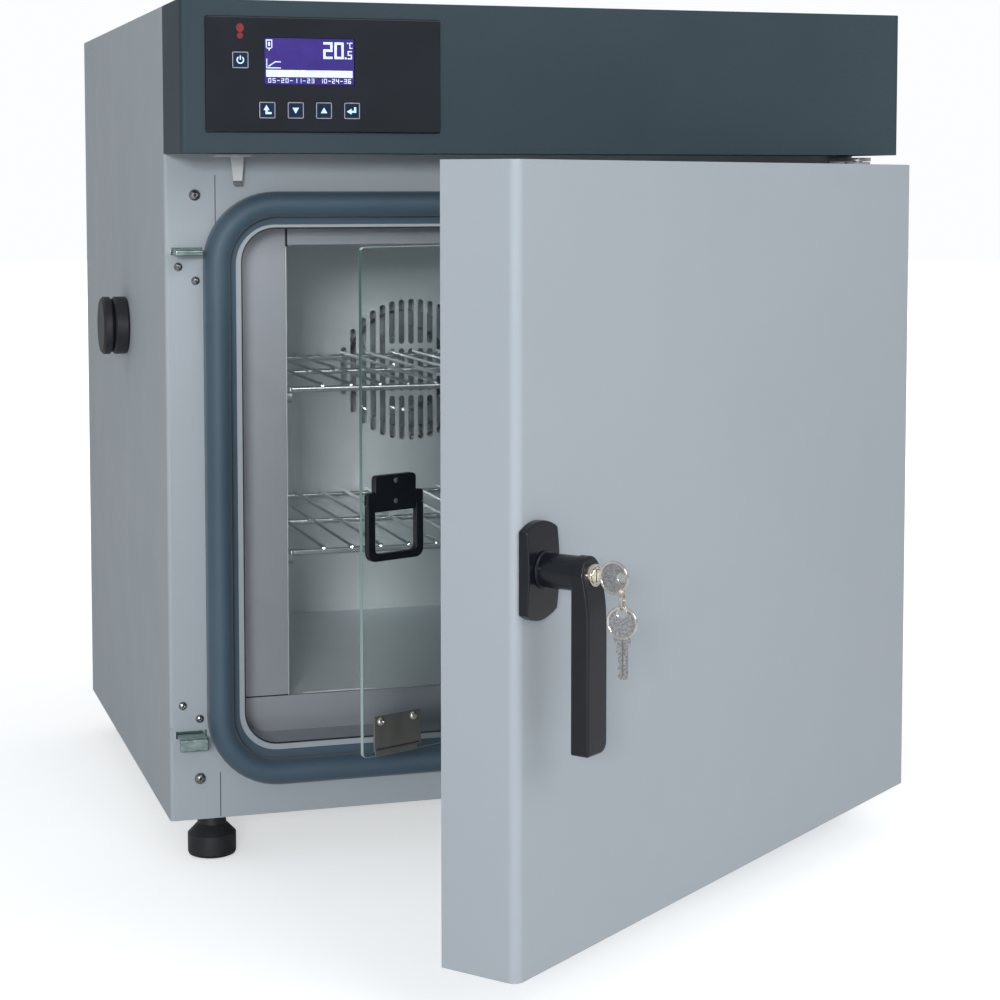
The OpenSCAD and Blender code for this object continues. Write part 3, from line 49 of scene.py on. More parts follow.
# The studio: a pale floor that runs out of sight, a soft white surround and two large soft lights.
# The camera stands where the photograph was taken, left of the cabinet and a little above its middle.
def soft_light(name, place, aim, size, power, tint):
    data = bpy.data.lights.new(name, "AREA")
    data.shape = "RECTANGLE"
    data.size, data.size_y = size
    data.energy = power
    data.color = tint
    light = bpy.data.objects.new(name, data)
    light.location = place
    light.rotation_euler = (Vector(aim) - Vector(place)).to_track_quat("-Z", "Y").to_euler()
    scene.collection.objects.link(light)


def shader_for(name, **values):
    """A material, its node tree, its shader with these values on its sockets, and the place on the object."""
    material = bpy.data.materials.new(name)
    material.use_nodes = True
    tree = material.node_tree
    shader = tree.nodes["Principled BSDF"]
    for socket, value in values.items():
        shader.inputs[socket.replace("_", " ")].default_value = value
    return material, tree, shader, tree.nodes.new("ShaderNodeTexCoord").outputs["Object"]


def grains(tree, place, size, detail=2.0, stretch=(1.0, 1.0, 1.0)):
    """Noise with grains of about that size in metres, drawn out where stretch is below one."""
    mapping = tree.nodes.new("ShaderNodeMapping")
    mapping.inputs["Scale"].default_value = stretch
    noise = tree.nodes.new("ShaderNodeTexNoise")
    noise.inputs["Scale"].default_value = 1.0 / size
    noise.inputs["Detail"].default_value = detail
    tree.links.new(place, mapping.inputs["Vector"])
    tree.links.new(mapping.outputs["Vector"], noise.inputs["Vector"])
    return noise.outputs["Fac"]


def between(tree, pattern, low, high, socket, start=0.35, end=0.65):
    """The pattern drives a number or a colour of the shader from low to high."""
    if isinstance(low, tuple):
        ramp = tree.nodes.new("ShaderNodeValToRGB")
        ramp.color_ramp.elements[0].position = start
        ramp.color_ramp.elements[0].color = (*low, 1.0)
        ramp.color_ramp.elements[1].position = end
        ramp.color_ramp.elements[1].color = (*high, 1.0)
        tree.links.new(pattern, ramp.inputs["Fac"])
        tree.links.new(ramp.outputs["Color"], socket)
    else:
        spread = tree.nodes.new("ShaderNodeMapRange")
        spread.inputs["From Min"].default_value = start
        spread.inputs["From Max"].default_value = end
        spread.inputs["To Min"].default_value = low
        spread.inputs["To Max"].default_value = high
        tree.links.new(pattern, spread.inputs["Value"])
        tree.links.new(spread.outputs["Result"], socket)


def toned(name, low, high, grain, detail=2.0, stretch=(1.0, 1.0, 1.0), **values):
    """A material like shader_for's, its colour wandering from low to high over grains of that size."""
    material, tree, shader, place = shader_for(name, **values)
    between(tree, grains(tree, place, grain, detail, stretch), low, high, shader.inputs["Base Color"])
    return material, tree, shader, place


soft_white = (0.97, 0.985, 1.0, 1.0)
floor_reach, floor_drop = 14, 0.5 * mm
floor_paper, tree, shader, place = toned("floor_paper", (0.86, 0.865, 0.87), (0.89, 0.895, 0.9), 0.4,
                                         Roughness=0.85, Emission_Color=soft_white)
distance = tree.nodes.new("ShaderNodeVectorMath")
distance.operation = "LENGTH"
tree.links.new(place, distance.inputs[0])
glow = tree.nodes.new("ShaderNodeMath")
glow.operation = "MULTIPLY"
between(tree, distance.outputs["Value"], 0.5, 1.0, glow.inputs[0], 0.5, 2.6)
tree.links.new(tree.nodes.new("ShaderNodeLightPath").outputs["Is Camera Ray"], glow.inputs[1])
tree.links.new(glow.outputs["Value"], shader.inputs["Emission Strength"])
shape = bmesh.new()
bmesh.ops.create_circle(shape, cap_ends=True, segments=64, radius=floor_reach)
floor_mesh = bpy.data.meshes.new("floor")
shape.to_mesh(floor_mesh)
shape.free()
floor_mesh.materials.append(floor_paper)
studio_floor = bpy.data.objects.new("floor", floor_mesh)
studio_floor.location.z = -floor_drop
scene.collection.objects.link(studio_floor)

scene.view_settings.view_transform = "Standard"
world = bpy.data.worlds.new("surround")
world.use_nodes = True
backdrop = world.node_tree.nodes["Background"].inputs
backdrop["Color"].default_value = soft_white
seen = world.node_tree.nodes.new("ShaderNodeLightPath")
bright = world.node_tree.nodes.new("ShaderNodeMapRange")
bright.inputs["To Min"].default_value, bright.inputs["To Max"].default_value = 0.5, 1.0
world.node_tree.links.new(seen.outputs["Is Camera Ray"], bright.inputs["Value"])
world.node_tree.links.new(bright.outputs["Result"], backdrop["Strength"])
scene.world = world
soft_light("key_light", (1.6, -3.2, 2.35), (0.0, -0.1, 0.35), (3.0, 2.0), 45, (1.0, 0.99, 0.99))
soft_light("fill_light", (-1.3, -3.2, 0.95), (-0.05, 0.2, 0.3), (0.6, 0.4), 50, (0.96, 0.98, 1.0))

camera_pitch, camera_yaw = 4.27, 17.36
camera_data = bpy.data.cameras.new("camera")
camera_data.lens = 81.1
camera_data.shift_y = -0.15
camera = bpy.data.objects.new("camera", camera_data)
camera.location = (-0.5695, -1.7689, 0.5437)
camera.rotation_euler = (math.radians(90 - camera_pitch), 0.0, math.radians(-camera_yaw))
scene.collection.objects.link(camera)
scene.camera = camera


# The casing: folded sheet steel panels with a light grey powder coat, screwed together.
# The coat has a fine orange-peel surface, and it is a little duller where hands and cloths have passed.
def relief(tree, pattern, depth, shader):
    """The pattern stands out of the surface by that depth in metres."""
    bump = tree.nodes.new("ShaderNodeBump")
    bump.inputs["Distance"].default_value = depth
    bump.inputs["Strength"].default_value = 1.0
    tree.links.new(pattern, bump.inputs["Height"])
    tree.links.new(bump.outputs["Normal"], shader.inputs["Normal"])


def powder_coat(name, low, high, grain, depth, rough):
    """Paint baked on steel, its gloss uneven and its surface pebbled by that depth."""
    material, tree, shader, place = toned(name, low, high, 0.22, 3.0, Roughness=rough)
    between(tree, grains(tree, place, 0.06, 4.0), rough - 0.05, rough + 0.06, shader.inputs["Roughness"])
    relief(tree, grains(tree, place, grain, 1.0), depth, shader)
    return material


def dress(material, *names):
    """These CAD nodes get the material in every slot."""
    for name in names:
        for entry in nodes[name].material_slots:
            entry.material = material


casing_paint = powder_coat("casing_paint", (0.368, 0.408, 0.442), (0.38, 0.42, 0.455), 0.0022, 0.02 * mm, 0.6)
dress(casing_paint, "casing_left", "casing_right", "top_cover", "rear_cover", "front_frame", "door_skin",
      "door_inner_panel")

# The feet, the port plug and the mains inlet: moulded black rubber and plastic with a fine matt grain.
# The feet screw into the base panel, and the plug is pushed into the port tube. The same black also serves as
# painted shade in gaps, a crease, screw sockets and a keyway.
black_rubber, tree, shader, place = toned("black_rubber", (0.008, 0.009, 0.012), (0.014, 0.016, 0.02), 0.01,
                                          3.0, Roughness=0.5)
relief(tree, grains(tree, place, 0.001, 2.0), 0.02 * mm, shader)
dress(black_rubber, "port_plug", "foot_front_left", "foot_front_right", "foot_rear_left", "foot_rear_right",
      "mains_inlet")

# The plated pieces, of galvanized steel: base panel, hinge brackets, motor, heater, probe, supports, latch.
# They are screwed or riveted on behind the painted sheets, and their zinc is faintly spangled.
plated_sheet, tree, shader, place = toned("plated_sheet", (0.5, 0.53, 0.52), (0.66, 0.68, 0.66), 0.012, 3.0,
                                          Metallic=1.0, Roughness=0.4)
between(tree, grains(tree, place, 0.03, 2.0), 0.3, 0.5, shader.inputs["Roughness"])
dress(plated_sheet, "base_panel", "hinge_upper", "hinge_lower", "glass_brackets", "power_supply", "fan_motor",
      "heater", "temperature_probe", "shelf_supports", "latch_bar", "latch_pinion")

# The control board: a green circuit board that stands behind the fascia in the header.
# Its switches sit under the keys, and the display is plugged on its front.
board_green = toned("board_green", (0.01, 0.08, 0.03), (0.02, 0.13, 0.05), 0.004, 3.0, Roughness=0.35)[0]
dress(board_green, "control_board")

# The insulation: mineral wool packed round the chamber's liner and in the hollow of the outer door.
# It is yellow-brown and fibrous, and the sheets hide it.
wool, tree, shader, place = toned("wool", (0.5, 0.4, 0.15), (0.7, 0.6, 0.3), 0.01, 5.0, Roughness=0.95)
relief(tree, grains(tree, place, 0.003, 5.0, (1.0, 1.0, 0.3)), 1 * mm, shader)
dress(wool, "insulation", "door_insulation")


# The front frame: a sheet between the side flanges, folded back round the recess of the chamber.
# Its opening has round corners, and a thin black strip on each side where it meets the flanges is painted
# shade for the gap between the sheets.
def outline(left, right, bottom, top, low_round, high_round, steps=6):
    """Points round an upright rectangle whose low and high corners have these radii."""
    corners = ((left, bottom, 1, 1, low_round, math.pi), (right, bottom, -1, 1, low_round, 1.5 * math.pi),
               (right, top, -1, -1, high_round, 0.0), (left, top, 1, -1, high_round, 0.5 * math.pi))
    quarter = [step * math.pi / 2 / steps for step in range(steps + 1)]
    return [(x + dx * r + r * math.cos(start + turn), z + dz * r + r * math.sin(start + turn))
            for x, z, dx, dz, r, start in corners for turn in quarter]


def thicken(part, depth):
    """Extrudes a flat upright shape along Y, and gives back what grew."""
    grown = bmesh.ops.extrude_face_region(part, geom=part.faces[:])["geom"]
    raised = [item for item in grown if isinstance(item, bmesh.types.BMVert)]
    bmesh.ops.translate(part, vec=(0.0, depth, 0.0), verts=raised)
    return grown


def front_edges(grown):
    """The edges where the front of a thickened shape meets its sides."""
    return [item for item in grown if isinstance(item, bmesh.types.BMEdge)
            and any(abs(face.normal.y) < 0.5 for face in item.link_faces)]


def pierced(rim, holes, front, back, edge=0.0, steps=3):
    """An upright plate with this rim and these holes, its outer edge at the front eased."""
    part = bmesh.new()
    for loop in (rim, *holes):
        ring = [part.verts.new((x, back, z)) for x, z in loop]
        for pair in zip(ring, ring[1:] + ring[:1]):
            part.edges.new(pair)
    bmesh.ops.triangle_fill(part, use_beauty=True, edges=part.edges[:], normal=(0.0, -1.0, 0.0))
    grown = thicken(part, front - back)
    bmesh.ops.recalc_face_normals(part, faces=part.faces)
    if edge:
        outside = {vert for vert in grown if isinstance(vert, bmesh.types.BMVert)
                   and any(abs(vert.co.x - x) + abs(vert.co.z - z) < 0.00001 for x, z in rim)}
        sharp = [item for item in front_edges(grown) if all(vert in outside for vert in item.verts)]
        bmesh.ops.bevel(part, geom=sharp, offset=edge, segments=steps, affect="EDGES", profile=0.5,
                        material=-1)
    return part


def framed(profile, left, right, bottom, top, radius, steps=12):
    """A ring run round a rectangle with round corners, from pairs of distance outwards and depth."""
    part = bmesh.new()
    start = [part.verts.new((left - outwards, depth, bottom + radius)) for outwards, depth in profile]
    line = start + [part.edges.new(pair) for pair in zip(start, start[1:] + start[:1])]
    runs = (((0, 0, top - bottom - 2 * radius), (left + radius, 0, top - radius)),
            ((right - left - 2 * radius, 0, 0), (right - radius, 0, top - radius)),
            ((0, 0, bottom - top + 2 * radius), (right - radius, 0, bottom + radius)),
            ((left - right + 2 * radius, 0, 0), (left + radius, 0, bottom + radius)))
    for run, centre in runs:
        edges = [item for item in line if isinstance(item, bmesh.types.BMEdge)]
        made = bmesh.ops.extrude_edge_only(part, edges=edges)["geom"]
        verts = [item for item in made if isinstance(item, bmesh.types.BMVert)]
        edges = [item for item in made if isinstance(item, bmesh.types.BMEdge) and item.is_boundary]
        bmesh.ops.translate(part, vec=run, verts=verts)
        line = bmesh.ops.spin(part, geom=verts + edges, cent=centre, axis=(0, 1, 0), angle=math.pi / 2,
                              steps=steps)["geom_last"]
    return part


def block(low, high, edge=0.0, steps=2):
    """A block between two corners, its edges rounded."""
    part = bmesh.new()
    low, high = Vector(low), Vector(high)
    grow = Matrix.Translation((low + high) / 2) @ Matrix.Diagonal((*(high - low), 1.0))
    bmesh.ops.create_cube(part, size=1.0, matrix=grow)
    if edge:
        bmesh.ops.bevel(part, geom=part.edges[:], offset=edge, segments=steps, affect="EDGES", profile=0.5,
                        material=-1)
    return part


def assemble(name, parts, body, turn=None, crease=35):
    """One finished piece made of parts, each a shape and its material, riding on a body."""
    whole = bmesh.new()
    materials = []
    for part, material in parts:
        if material not in materials:
            materials.append(material)
        bmesh.ops.remove_doubles(part, verts=part.verts, dist=0.000001)
        bmesh.ops.recalc_face_normals(part, faces=part.faces)
        for face in part.faces:
            face.material_index = materials.index(material)
            face.smooth = True
        store = bpy.data.meshes.new(name)
        part.to_mesh(store)
        part.free()
        whole.from_mesh(store)
        bpy.data.meshes.remove(store)
    if turn is not None:
        bmesh.ops.transform(whole, matrix=turn, verts=whole.verts)
    mesh = bpy.data.meshes.new(name)
    whole.to_mesh(mesh)
    whole.free()
    for material in materials:
        mesh.materials.append(material)
    mesh.set_sharp_from_angle(angle=math.radians(crease))
    made = bpy.data.objects.new(name, mesh)
    made.modifiers.new("even_shading", "WEIGHTED_NORMAL").keep_sharp = True
    scene.collection.objects.link(made)
    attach(made, body)
    return made


front_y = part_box("front_frame")[0].y
recess_left, recess_right, recess_bottom, recess_top = -235 * mm, 235 * mm, 93 * mm, 508 * mm
recess_round, recess_back = 27.8 * mm, 26.2 * mm
header_gap_low, header_gap_high = 585.4 * mm, 659 * mm
sheet_low, sheet_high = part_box("front_frame")
sheet = pierced([(sheet_low.x, sheet_low.z), (sheet_high.x, sheet_low.z), (sheet_high.x, sheet_high.z),
                 (sheet_low.x, sheet_high.z)],
                [outline(recess_left, recess_right, recess_bottom, recess_top, recess_round, recess_round,
                         10),
                 outline(recess_left, recess_right, header_gap_low, header_gap_high, 1 * mm, 1 * mm)],
                front_y, front_y + 1.2 * mm)


def round_recess(profile, inset):
    """A ring of this profile, in pairs of distance outwards and depth, that far inside the recess."""
    return framed(profile, recess_left + inset, recess_right - inset, recess_bottom + inset,
                  recess_top - inset, recess_round - inset)


fold = round_recess([(0.0, front_y + 0.3 * mm), (0.0, recess_back), (-0.2 * mm, recess_back),
                     (-0.2 * mm, front_y + 0.3 * mm)], 0.0)
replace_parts(assemble("front_sheet", [(sheet, casing_paint), (fold, casing_paint)], "cabinet"),
            "front_frame")
# Painted shade: thin black strips stand in the gaps between the front sheet and the side flanges.
gap_shade_strips = []
for joint_x in (-255 * mm, 255 * mm):
    for joint_low, joint_high in ((38 * mm, 74 * mm), (510 * mm, 549 * mm)):
        gap_shade_strips.append((block((joint_x - 0.3 * mm, front_y - 0.12 * mm, joint_low),
                             (joint_x + 0.3 * mm, front_y + 0.6 * mm, joint_high)), black_rubber))
assemble("frame_gap_shades", gap_shade_strips, "cabinet")


# The screws: domed heads in plated steel, with a hexagon socket in the large ones and a cross in the small.
# They hold the front frame, the keepers' plates and the rear cover.
screw_steel = toned("screw_steel", (0.2, 0.2, 0.2), (0.36, 0.36, 0.36), 0.002, 3.0, Metallic=1.0,
                    Roughness=0.25)[0]


def turned(profile, centre, axis, steps=48):
    """A round part turned from radius and height pairs about an axis through the centre."""
    part = bmesh.new()
    axis = Vector(axis)
    side = axis.orthogonal().normalized()
    ring = [part.verts.new(Vector(centre) + side * radius + axis * height) for radius, height in profile]
    line = [part.edges.new(pair) for pair in zip(ring, ring[1:])]
    bmesh.ops.spin(part, geom=ring + line, cent=centre, axis=axis, angle=2 * math.pi, steps=steps,
                   use_merge=True)
    return part


def screw_head(place, radius, facing, cross):
    """A domed head on its seat, with a cross or a hexagon cut in it."""
    sweep = [(0.0, 0.3), (0.4, 0.3), (0.4, 0.6), (0.62, 0.52), (0.82, 0.38), (0.95, 0.18), (1.0, 0.0),
             (0.0, 0.0)]
    part = turned([(r * radius, h * radius) for r, h in sweep], place, (0, facing, 0), 48)
    for vert in part.verts:
        across = Vector((vert.co.x - place[0], 0.0, vert.co.z - place[2]))
        if abs(across.length - 0.4 * radius) < 0.01 * radius:
            angle = math.atan2(across.z, across.x)
            if cross:
                arms = [min(0.5, 0.12 / max(abs(f(angle)), 0.001)) for f in (math.sin, math.cos)]
                reach = max(arms)
            else:
                reach = 0.36 / math.cos((angle % (math.pi / 3)) - math.pi / 6)
            vert.co = Vector((place[0], vert.co.y, place[2])) + across.normalized() * reach * radius
    return part


def socket(place, radius, facing):
    """The shade at the bottom of a head's socket."""
    return turned([(0.0, 0.38 * radius), (0.26 * radius, 0.36 * radius), (0.26 * radius, 0.2 * radius),
                   (0.0, 0.2 * radius)], place, (0, facing, 0), 16)


back_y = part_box("rear_cover")[1].y
large_head, small_head, rear_head = 4.6 * mm, 3.4 * mm, 3.6 * mm
rear_screw_low, rear_screw_pitch = 57 * mm, 200.667 * mm
heads = []
for x in (-271 * mm, 271 * mm):
    for z in (533.4 * mm, 70 * mm):
        heads.append((screw_head((x, front_y, z), large_head, -1, False), screw_steel))
        heads.append((socket((x, front_y, z), large_head, -1), black_rubber))
for x, z in ((-284.5, 477.4), (-271.0, 466.4), (-284.5, 129.5), (-271.0, 118.3)):
    heads.append((screw_head((x * mm, front_y, z * mm), small_head, -1, True), screw_steel))
    heads.append((socket((x * mm, front_y, z * mm), small_head, -1), black_rubber))
for x in (-285.8 * mm, 285.8 * mm):
    for count in range(4):
        z = rear_screw_low + count * rear_screw_pitch
        heads.append((screw_head((x, back_y, z), rear_head, 1, True), screw_steel))
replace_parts(assemble("screw_heads", heads, "cabinet"), "casing_screws")

# The keepers: plated tongues that the latch's hooks catch behind, standing out through slits in the flange.
# A painted stop closes the end of each slit, so that only a dark line shows above the tongue.
keeper_zinc = toned("keeper_zinc", (0.2, 0.29, 0.28), (0.36, 0.45, 0.44), 0.006, 3.0, Metallic=0.95,
                    Roughness=0.25)[0]
keeper_left, keeper_right = -290.6 * mm, -268 * mm
nose_front, nose_back = -39 * mm, -34.5 * mm
keepers, stops = [], []
for low, high, lip, slit_low, slit_high in ((486.6, 491.4, 486.6, 486.7, 493.2),
                                            (103.6, 107.6, 97.8, 103.3, 109.8)):
    tongue = block((keeper_left + 1.2 * mm, nose_front + 2 * mm, low * mm),
                   (keeper_right, front_y + 3 * mm, high * mm), 0.8 * mm, 2)
    nose = block((keeper_left, nose_front, lip * mm), (keeper_right, nose_back, high * mm), 1.4 * mm, 3)
    foot = block((keeper_left + 0.6 * mm, front_y + 3 * mm, (low - 12) * mm),
                 (keeper_right + 2 * mm, front_y + 5 * mm, (high + 12) * mm))
    keepers += [(tongue, keeper_zinc), (nose, keeper_zinc), (foot, keeper_zinc)]
    for left, right, bottom in ((-294.8, -290.2, slit_low - 2), (-290.2, -265, slit_high - 0.7)):
        stops.append((block((left * mm, front_y + 0.02 * mm, bottom * mm),
                            (right * mm, front_y + 2.6 * mm, (slit_high + 2) * mm)), casing_paint))
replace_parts(assemble("keeper_tongues", keepers, "cabinet"), "latch_keepers")
assemble("slit_stops", stops, "cabinet")

# The chamber: a welded box of stainless sheet with a slotted floor and a slotted baffle in front of the fan.
# The sheet has a fine upright grain from the brushing; its pale greenish colour, mostly matt, is painted
# reflection that brightens the chamber.
liner_steel, tree, shader, place = toned("liner_steel", (0.78, 0.83, 0.85), (0.82, 0.87, 0.89), 0.12, 3.0,
                                         Metallic=0.3, Roughness=0.42)
brushed = grains(tree, place, 0.0009, 3.0, (1.0, 1.0, 0.03))
between(tree, brushed, 0.36, 0.5, shader.inputs["Roughness"])
relief(tree, brushed, 0.01 * mm, shader)
dress(liner_steel, "chamber_liner", "floor_plate", "fan_baffle", "port_tube")

# The recess: lined with stainless sheet, and a dark bead along its front edge is painted shade for the gap
# there.
# The lining is pushed in and spot welded to the liner's edge.
stainless, tree, shader, place = toned("stainless", (0.38, 0.4, 0.435), (0.41, 0.43, 0.465), 0.09, 3.0,
                                       Metallic=0.75, Roughness=0.42)
brushed = grains(tree, place, 0.0006, 2.0, (1.0, 1.0, 0.05))
between(tree, brushed, 0.4, 0.46, shader.inputs["Roughness"])
relief(tree, brushed, 0.003 * mm, shader)
lining_front, lining_back, lining_wall = -12.5 * mm, 25.5 * mm, 0.8 * mm
lining = round_recess([(0.0, lining_front), (0.0, lining_back), (-lining_wall, lining_back),
                       (-lining_wall, lining_front)], 0.3 * mm)
# Painted shade: a black bead fills the gap between the lining's front edge and the front sheet.
recess_gap_shade = round_recess([(0.0, -14.6 * mm), (0.0, -12.6 * mm), (-0.9 * mm, -12.6 * mm), (-1.2 * mm, -13.6 * mm),
                     (-0.9 * mm, -14.6 * mm)], 0.2 * mm)
assemble("recess_lining", [(lining, stainless), (recess_gap_shade, black_rubber)], "cabinet")

# The chamber's front frame: stainless rails screwed round the opening, with narrow gaps between them.
# The side strips run up past the top rail, and all stand on the bottom rail.
opening_left, opening_right, opening_bottom, opening_top = -190 * mm, 212 * mm, 123 * mm, 492.5 * mm
step_low, step_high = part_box("chamber_frame")
step_low.z = recess_bottom + 0.2 * mm
seam = 0.8 * mm
rail_face, rail_back = step_low.y, step_high.y
rails = []
for left, right, bottom, top in (
        (step_low.x, opening_left - seam, opening_bottom + seam, step_high.z),
        (opening_right + seam, step_high.x, opening_bottom + seam, step_high.z),
        (step_low.x, step_high.x, step_low.z, opening_bottom),
        (opening_left + seam, opening_right - seam, opening_top, step_high.z - 2 * seam)):
    rail = bmesh.new()
    middle = (step_low + step_high) / 2
    size = step_high - step_low
    lay = (Matrix.Translation((middle.x, rail_back, middle.z)) @ Matrix.Diagonal((size.x, 1, size.z, 1))
           @ Matrix.Rotation(math.pi / 2, 4, "X"))
    bmesh.ops.create_grid(rail, x_segments=1, y_segments=1, size=0.5, matrix=lay)
    bmesh.ops.bevel(rail, geom=rail.verts[:], offset=recess_round, segments=10, affect="VERTICES",
                    profile=0.5, material=-1)
    for point, outwards in (((left, 0, 0), (-1, 0, 0)), ((right, 0, 0), (1, 0, 0)),
                            ((0, 0, bottom), (0, 0, -1)), ((0, 0, top), (0, 0, 1))):
        bmesh.ops.bisect_plane(rail, geom=rail.verts[:] + rail.edges[:] + rail.faces[:], dist=0.0000001,
                               plane_co=point, plane_no=outwards, clear_outer=True)
    rim = front_edges(thicken(rail, rail_face - rail_back))
    bmesh.ops.bevel(rail, geom=rim, offset=0.5 * mm, segments=2, affect="EDGES", profile=0.5, material=-1)
    rails.append((rail, stainless))
# Painted shade: black strips behind the rails' narrow gaps make them read as dark lines.
for (left, bottom), (right, top) in (
        ((opening_left - 2 * seam, opening_top - 1 * mm), (opening_left + 2 * seam, step_high.z - 0.5 * mm)),
        ((opening_right - 2 * seam, opening_top - 1 * mm),
         (opening_right + 2 * seam, step_high.z - 0.5 * mm)),
        ((opening_left, step_high.z - 3 * seam), (opening_right, step_high.z - 0.3 * mm)),
        ((step_low.x + 1 * mm, opening_bottom - 1 * mm), (opening_left - seam, opening_bottom + 2 * seam)),
        ((opening_right + seam, opening_bottom - 1 * mm), (step_high.x - 1 * mm, opening_bottom + 2 * seam))):
    rails.append((block((left, rail_face + 0.3 * mm, bottom), (right, rail_back - 0.1 * mm, top)),
                  black_rubber))
magnet_low, magnet_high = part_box("magnet_catch")
magnet = block((magnet_low.x, rail_face + 0.2 * mm, magnet_low.z),
               (magnet_high.x, rail_face + 1 * mm, magnet_high.z))
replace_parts(assemble("magnet_insert", [(magnet, black_rubber)], "cabinet"), "magnet_catch")
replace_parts(assemble("chamber_rails", rails, "cabinet"), "chamber_frame")

# The fan's impeller: a stamped and riveted wheel of bright steel that turns on the motor's shaft.
# It shows only through the slots of the baffle. The shelves' wire has the same bright finish.
wire_steel = toned("wire_steel", (0.8, 0.82, 0.83), (0.9, 0.92, 0.92), 0.01, Metallic=1.0, Roughness=0.22)[0]
dress(wire_steel, "fan_impeller")


# The shelves: round wire, with thin wires welded across three bars and a bar along each side.
# The steel is plated, and each weld leaves a small bead.
def rod(start, end, radius, steps=14):
    """A round bar with eased ends."""
    start, end = Vector(start), Vector(end)
    length, ease = (end - start).length, radius * 0.35
    line = [(0.0, 0.0), (radius - ease, 0.0), (radius, ease), (radius, length - ease),
            (radius - ease, length), (0.0, length)]
    return turned(line, start, (end - start).normalized(), steps)


bar_radius, wire_radius, wire_pitch = 2.6 * mm, 1.6 * mm, 24 * mm
left, right, front, rear = -184 * mm, 206 * mm, 40.2 * mm, 370.2 * mm
for shelf, height in (("upper_shelf", 377 * mm), ("lower_shelf", 242 * mm)):
    bars = height - 3.4 * mm
    wires = [(rod((left, depth, bars), (right, depth, bars), bar_radius), wire_steel)
             for depth in (front, (front + rear) / 2, rear)]
    wires += [(rod((side, front, bars), (side, rear, bars), 2.5 * mm), wire_steel) for side in (left, right)]
    for count in range(-7, 8):
        x = 11 * mm + count * wire_pitch
        wires.append((rod((x, front - 1.5 * mm, height), (x, rear + 8 * mm, height), wire_radius, 12),
                      wire_steel))
        for depth in (front, (front + rear) / 2, rear):
            weld = bmesh.new()
            bmesh.ops.create_icosphere(weld, subdivisions=1, radius=2.1 * mm,
                                       matrix=Matrix.Translation((x, depth, height - 1.3 * mm)))
            wires.append((weld, wire_steel))
    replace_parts(assemble(shelf + "_wires", wires, shelf), "shelf_" + shelf.split("_")[0])

# The gasket: a hollow blue-grey rubber ring pushed on the front frame, with a thin lip on its inner side.
# It is extruded silicone, matt and faintly powdery, bent round the corners and joined out of sight.
seal_rubber, tree, shader, place = toned("seal_rubber", (0.043, 0.08, 0.112), (0.052, 0.092, 0.13), 0.08, 3.0,
                                         Roughness=0.55, Sheen_Weight=0.15)
relief(tree, grains(tree, place, 0.0016, 2.0), 0.03 * mm, shader)
seal_side, seal_bottom, seal_top, seal_round = 255.2 * mm, 72.6 * mm, 526.2 * mm, 47.5 * mm
crown = [(10 * math.cos(math.radians(turn)), 8 + 10 * math.sin(math.radians(turn)))
         for turn in range(0, 181, 15)]
seal_line = [(10, 0.0), *crown, (-10, 3.0), (-9.4, 2.4), (-10, 1.8), (-15.8, 1.3), (-16.2, 0.0)]
seal = framed([(out * mm, front_y - rise * mm) for out, rise in seal_line], -seal_side, seal_side,
              seal_bottom, seal_top, seal_round)
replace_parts(assemble("gasket_ring", [(seal, seal_rubber)], "cabinet"), "door_gasket")


# The header: a moulded housing in dark green-grey with a fine grained texture.
# It is screwed to the front frame, and its corners are round enough to catch a thin broken highlight.
def eased_edges(name, width):
    """Rounds the sharp edges of a CAD node by that width, so that they catch the light."""
    nodes[name].modifiers.new("joined", "WELD").merge_threshold = 0.00001
    eased = nodes[name].modifiers.new("eased", "BEVEL")
    eased.width = width
    eased.segments = 3
    eased.limit_method = "ANGLE"
    eased.angle_limit = math.radians(40)
    nodes[name].modifiers.new("even_shading", "WEIGHTED_NORMAL")


header_paint, tree, shader, place = toned("header_paint", (0.021, 0.041, 0.054), (0.026, 0.048, 0.062), 0.15,
                                          3.0, Roughness=0.6, Specular_IOR_Level=0.35)
relief(tree, grains(tree, place, 0.0012, 2.0), 0.3 * mm, shader)
dress(header_paint, "header_shell")
eased_edges("header_shell", 0.9 * mm)

# The vent lever: a white moulding that slides in the header's floor, its finger narrowing to an end painted
# dark grey, a painted shade on the tip that faces down.
# Its foot runs in a slot, and a flange above hides the slot's ends.
white_plastic = toned("white_plastic", (0.55, 0.57, 0.58), (0.6, 0.62, 0.63), 0.01, Roughness=0.4)[0]
dress(white_plastic, "hinge_bushes")
# Painted shade: the finger's end is dark grey for the shade under its downward-facing tip.
tip_shade = toned("tip_shade", (0.1, 0.12, 0.13), (0.14, 0.16, 0.17), 0.005, Roughness=0.5)[0]
vent_x, vent_y, header_floor = -243.5 * mm, -25 * mm, 565.4 * mm
finger_x = vent_x + 4.6 * mm


def vent_block(middle, half_width, half_depth, low, high, edge=0.0):
    """A block of the lever, in millimetres from its middle and from the header's floor."""
    return block((middle - half_width * mm, vent_y - half_depth * mm, header_floor + low * mm),
                 (middle + half_width * mm, vent_y + half_depth * mm, header_floor + high * mm), edge)


taper = ((-3.6, -21), (3.6, -21), (5.2, -1), (-5.2, -1))
finger = pierced([(finger_x + x * mm, header_floor + z * mm) for x, z in taper], [], vent_y - 1.5 * mm,
                 vent_y + 1.5 * mm, 0.5 * mm)
lever = [(finger, white_plastic), (vent_block(finger_x, 3.4, 1.3, -24.6, -21, 0.8 * mm), tip_shade),
         (vent_block(vent_x, 14.5, 6, -2.3, -0.3, 0.4 * mm), white_plastic),
         (vent_block(vent_x, 4, 3, -1, 4), white_plastic)]
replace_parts(assemble("vent_finger", lever, "vent"), "vent_lever")

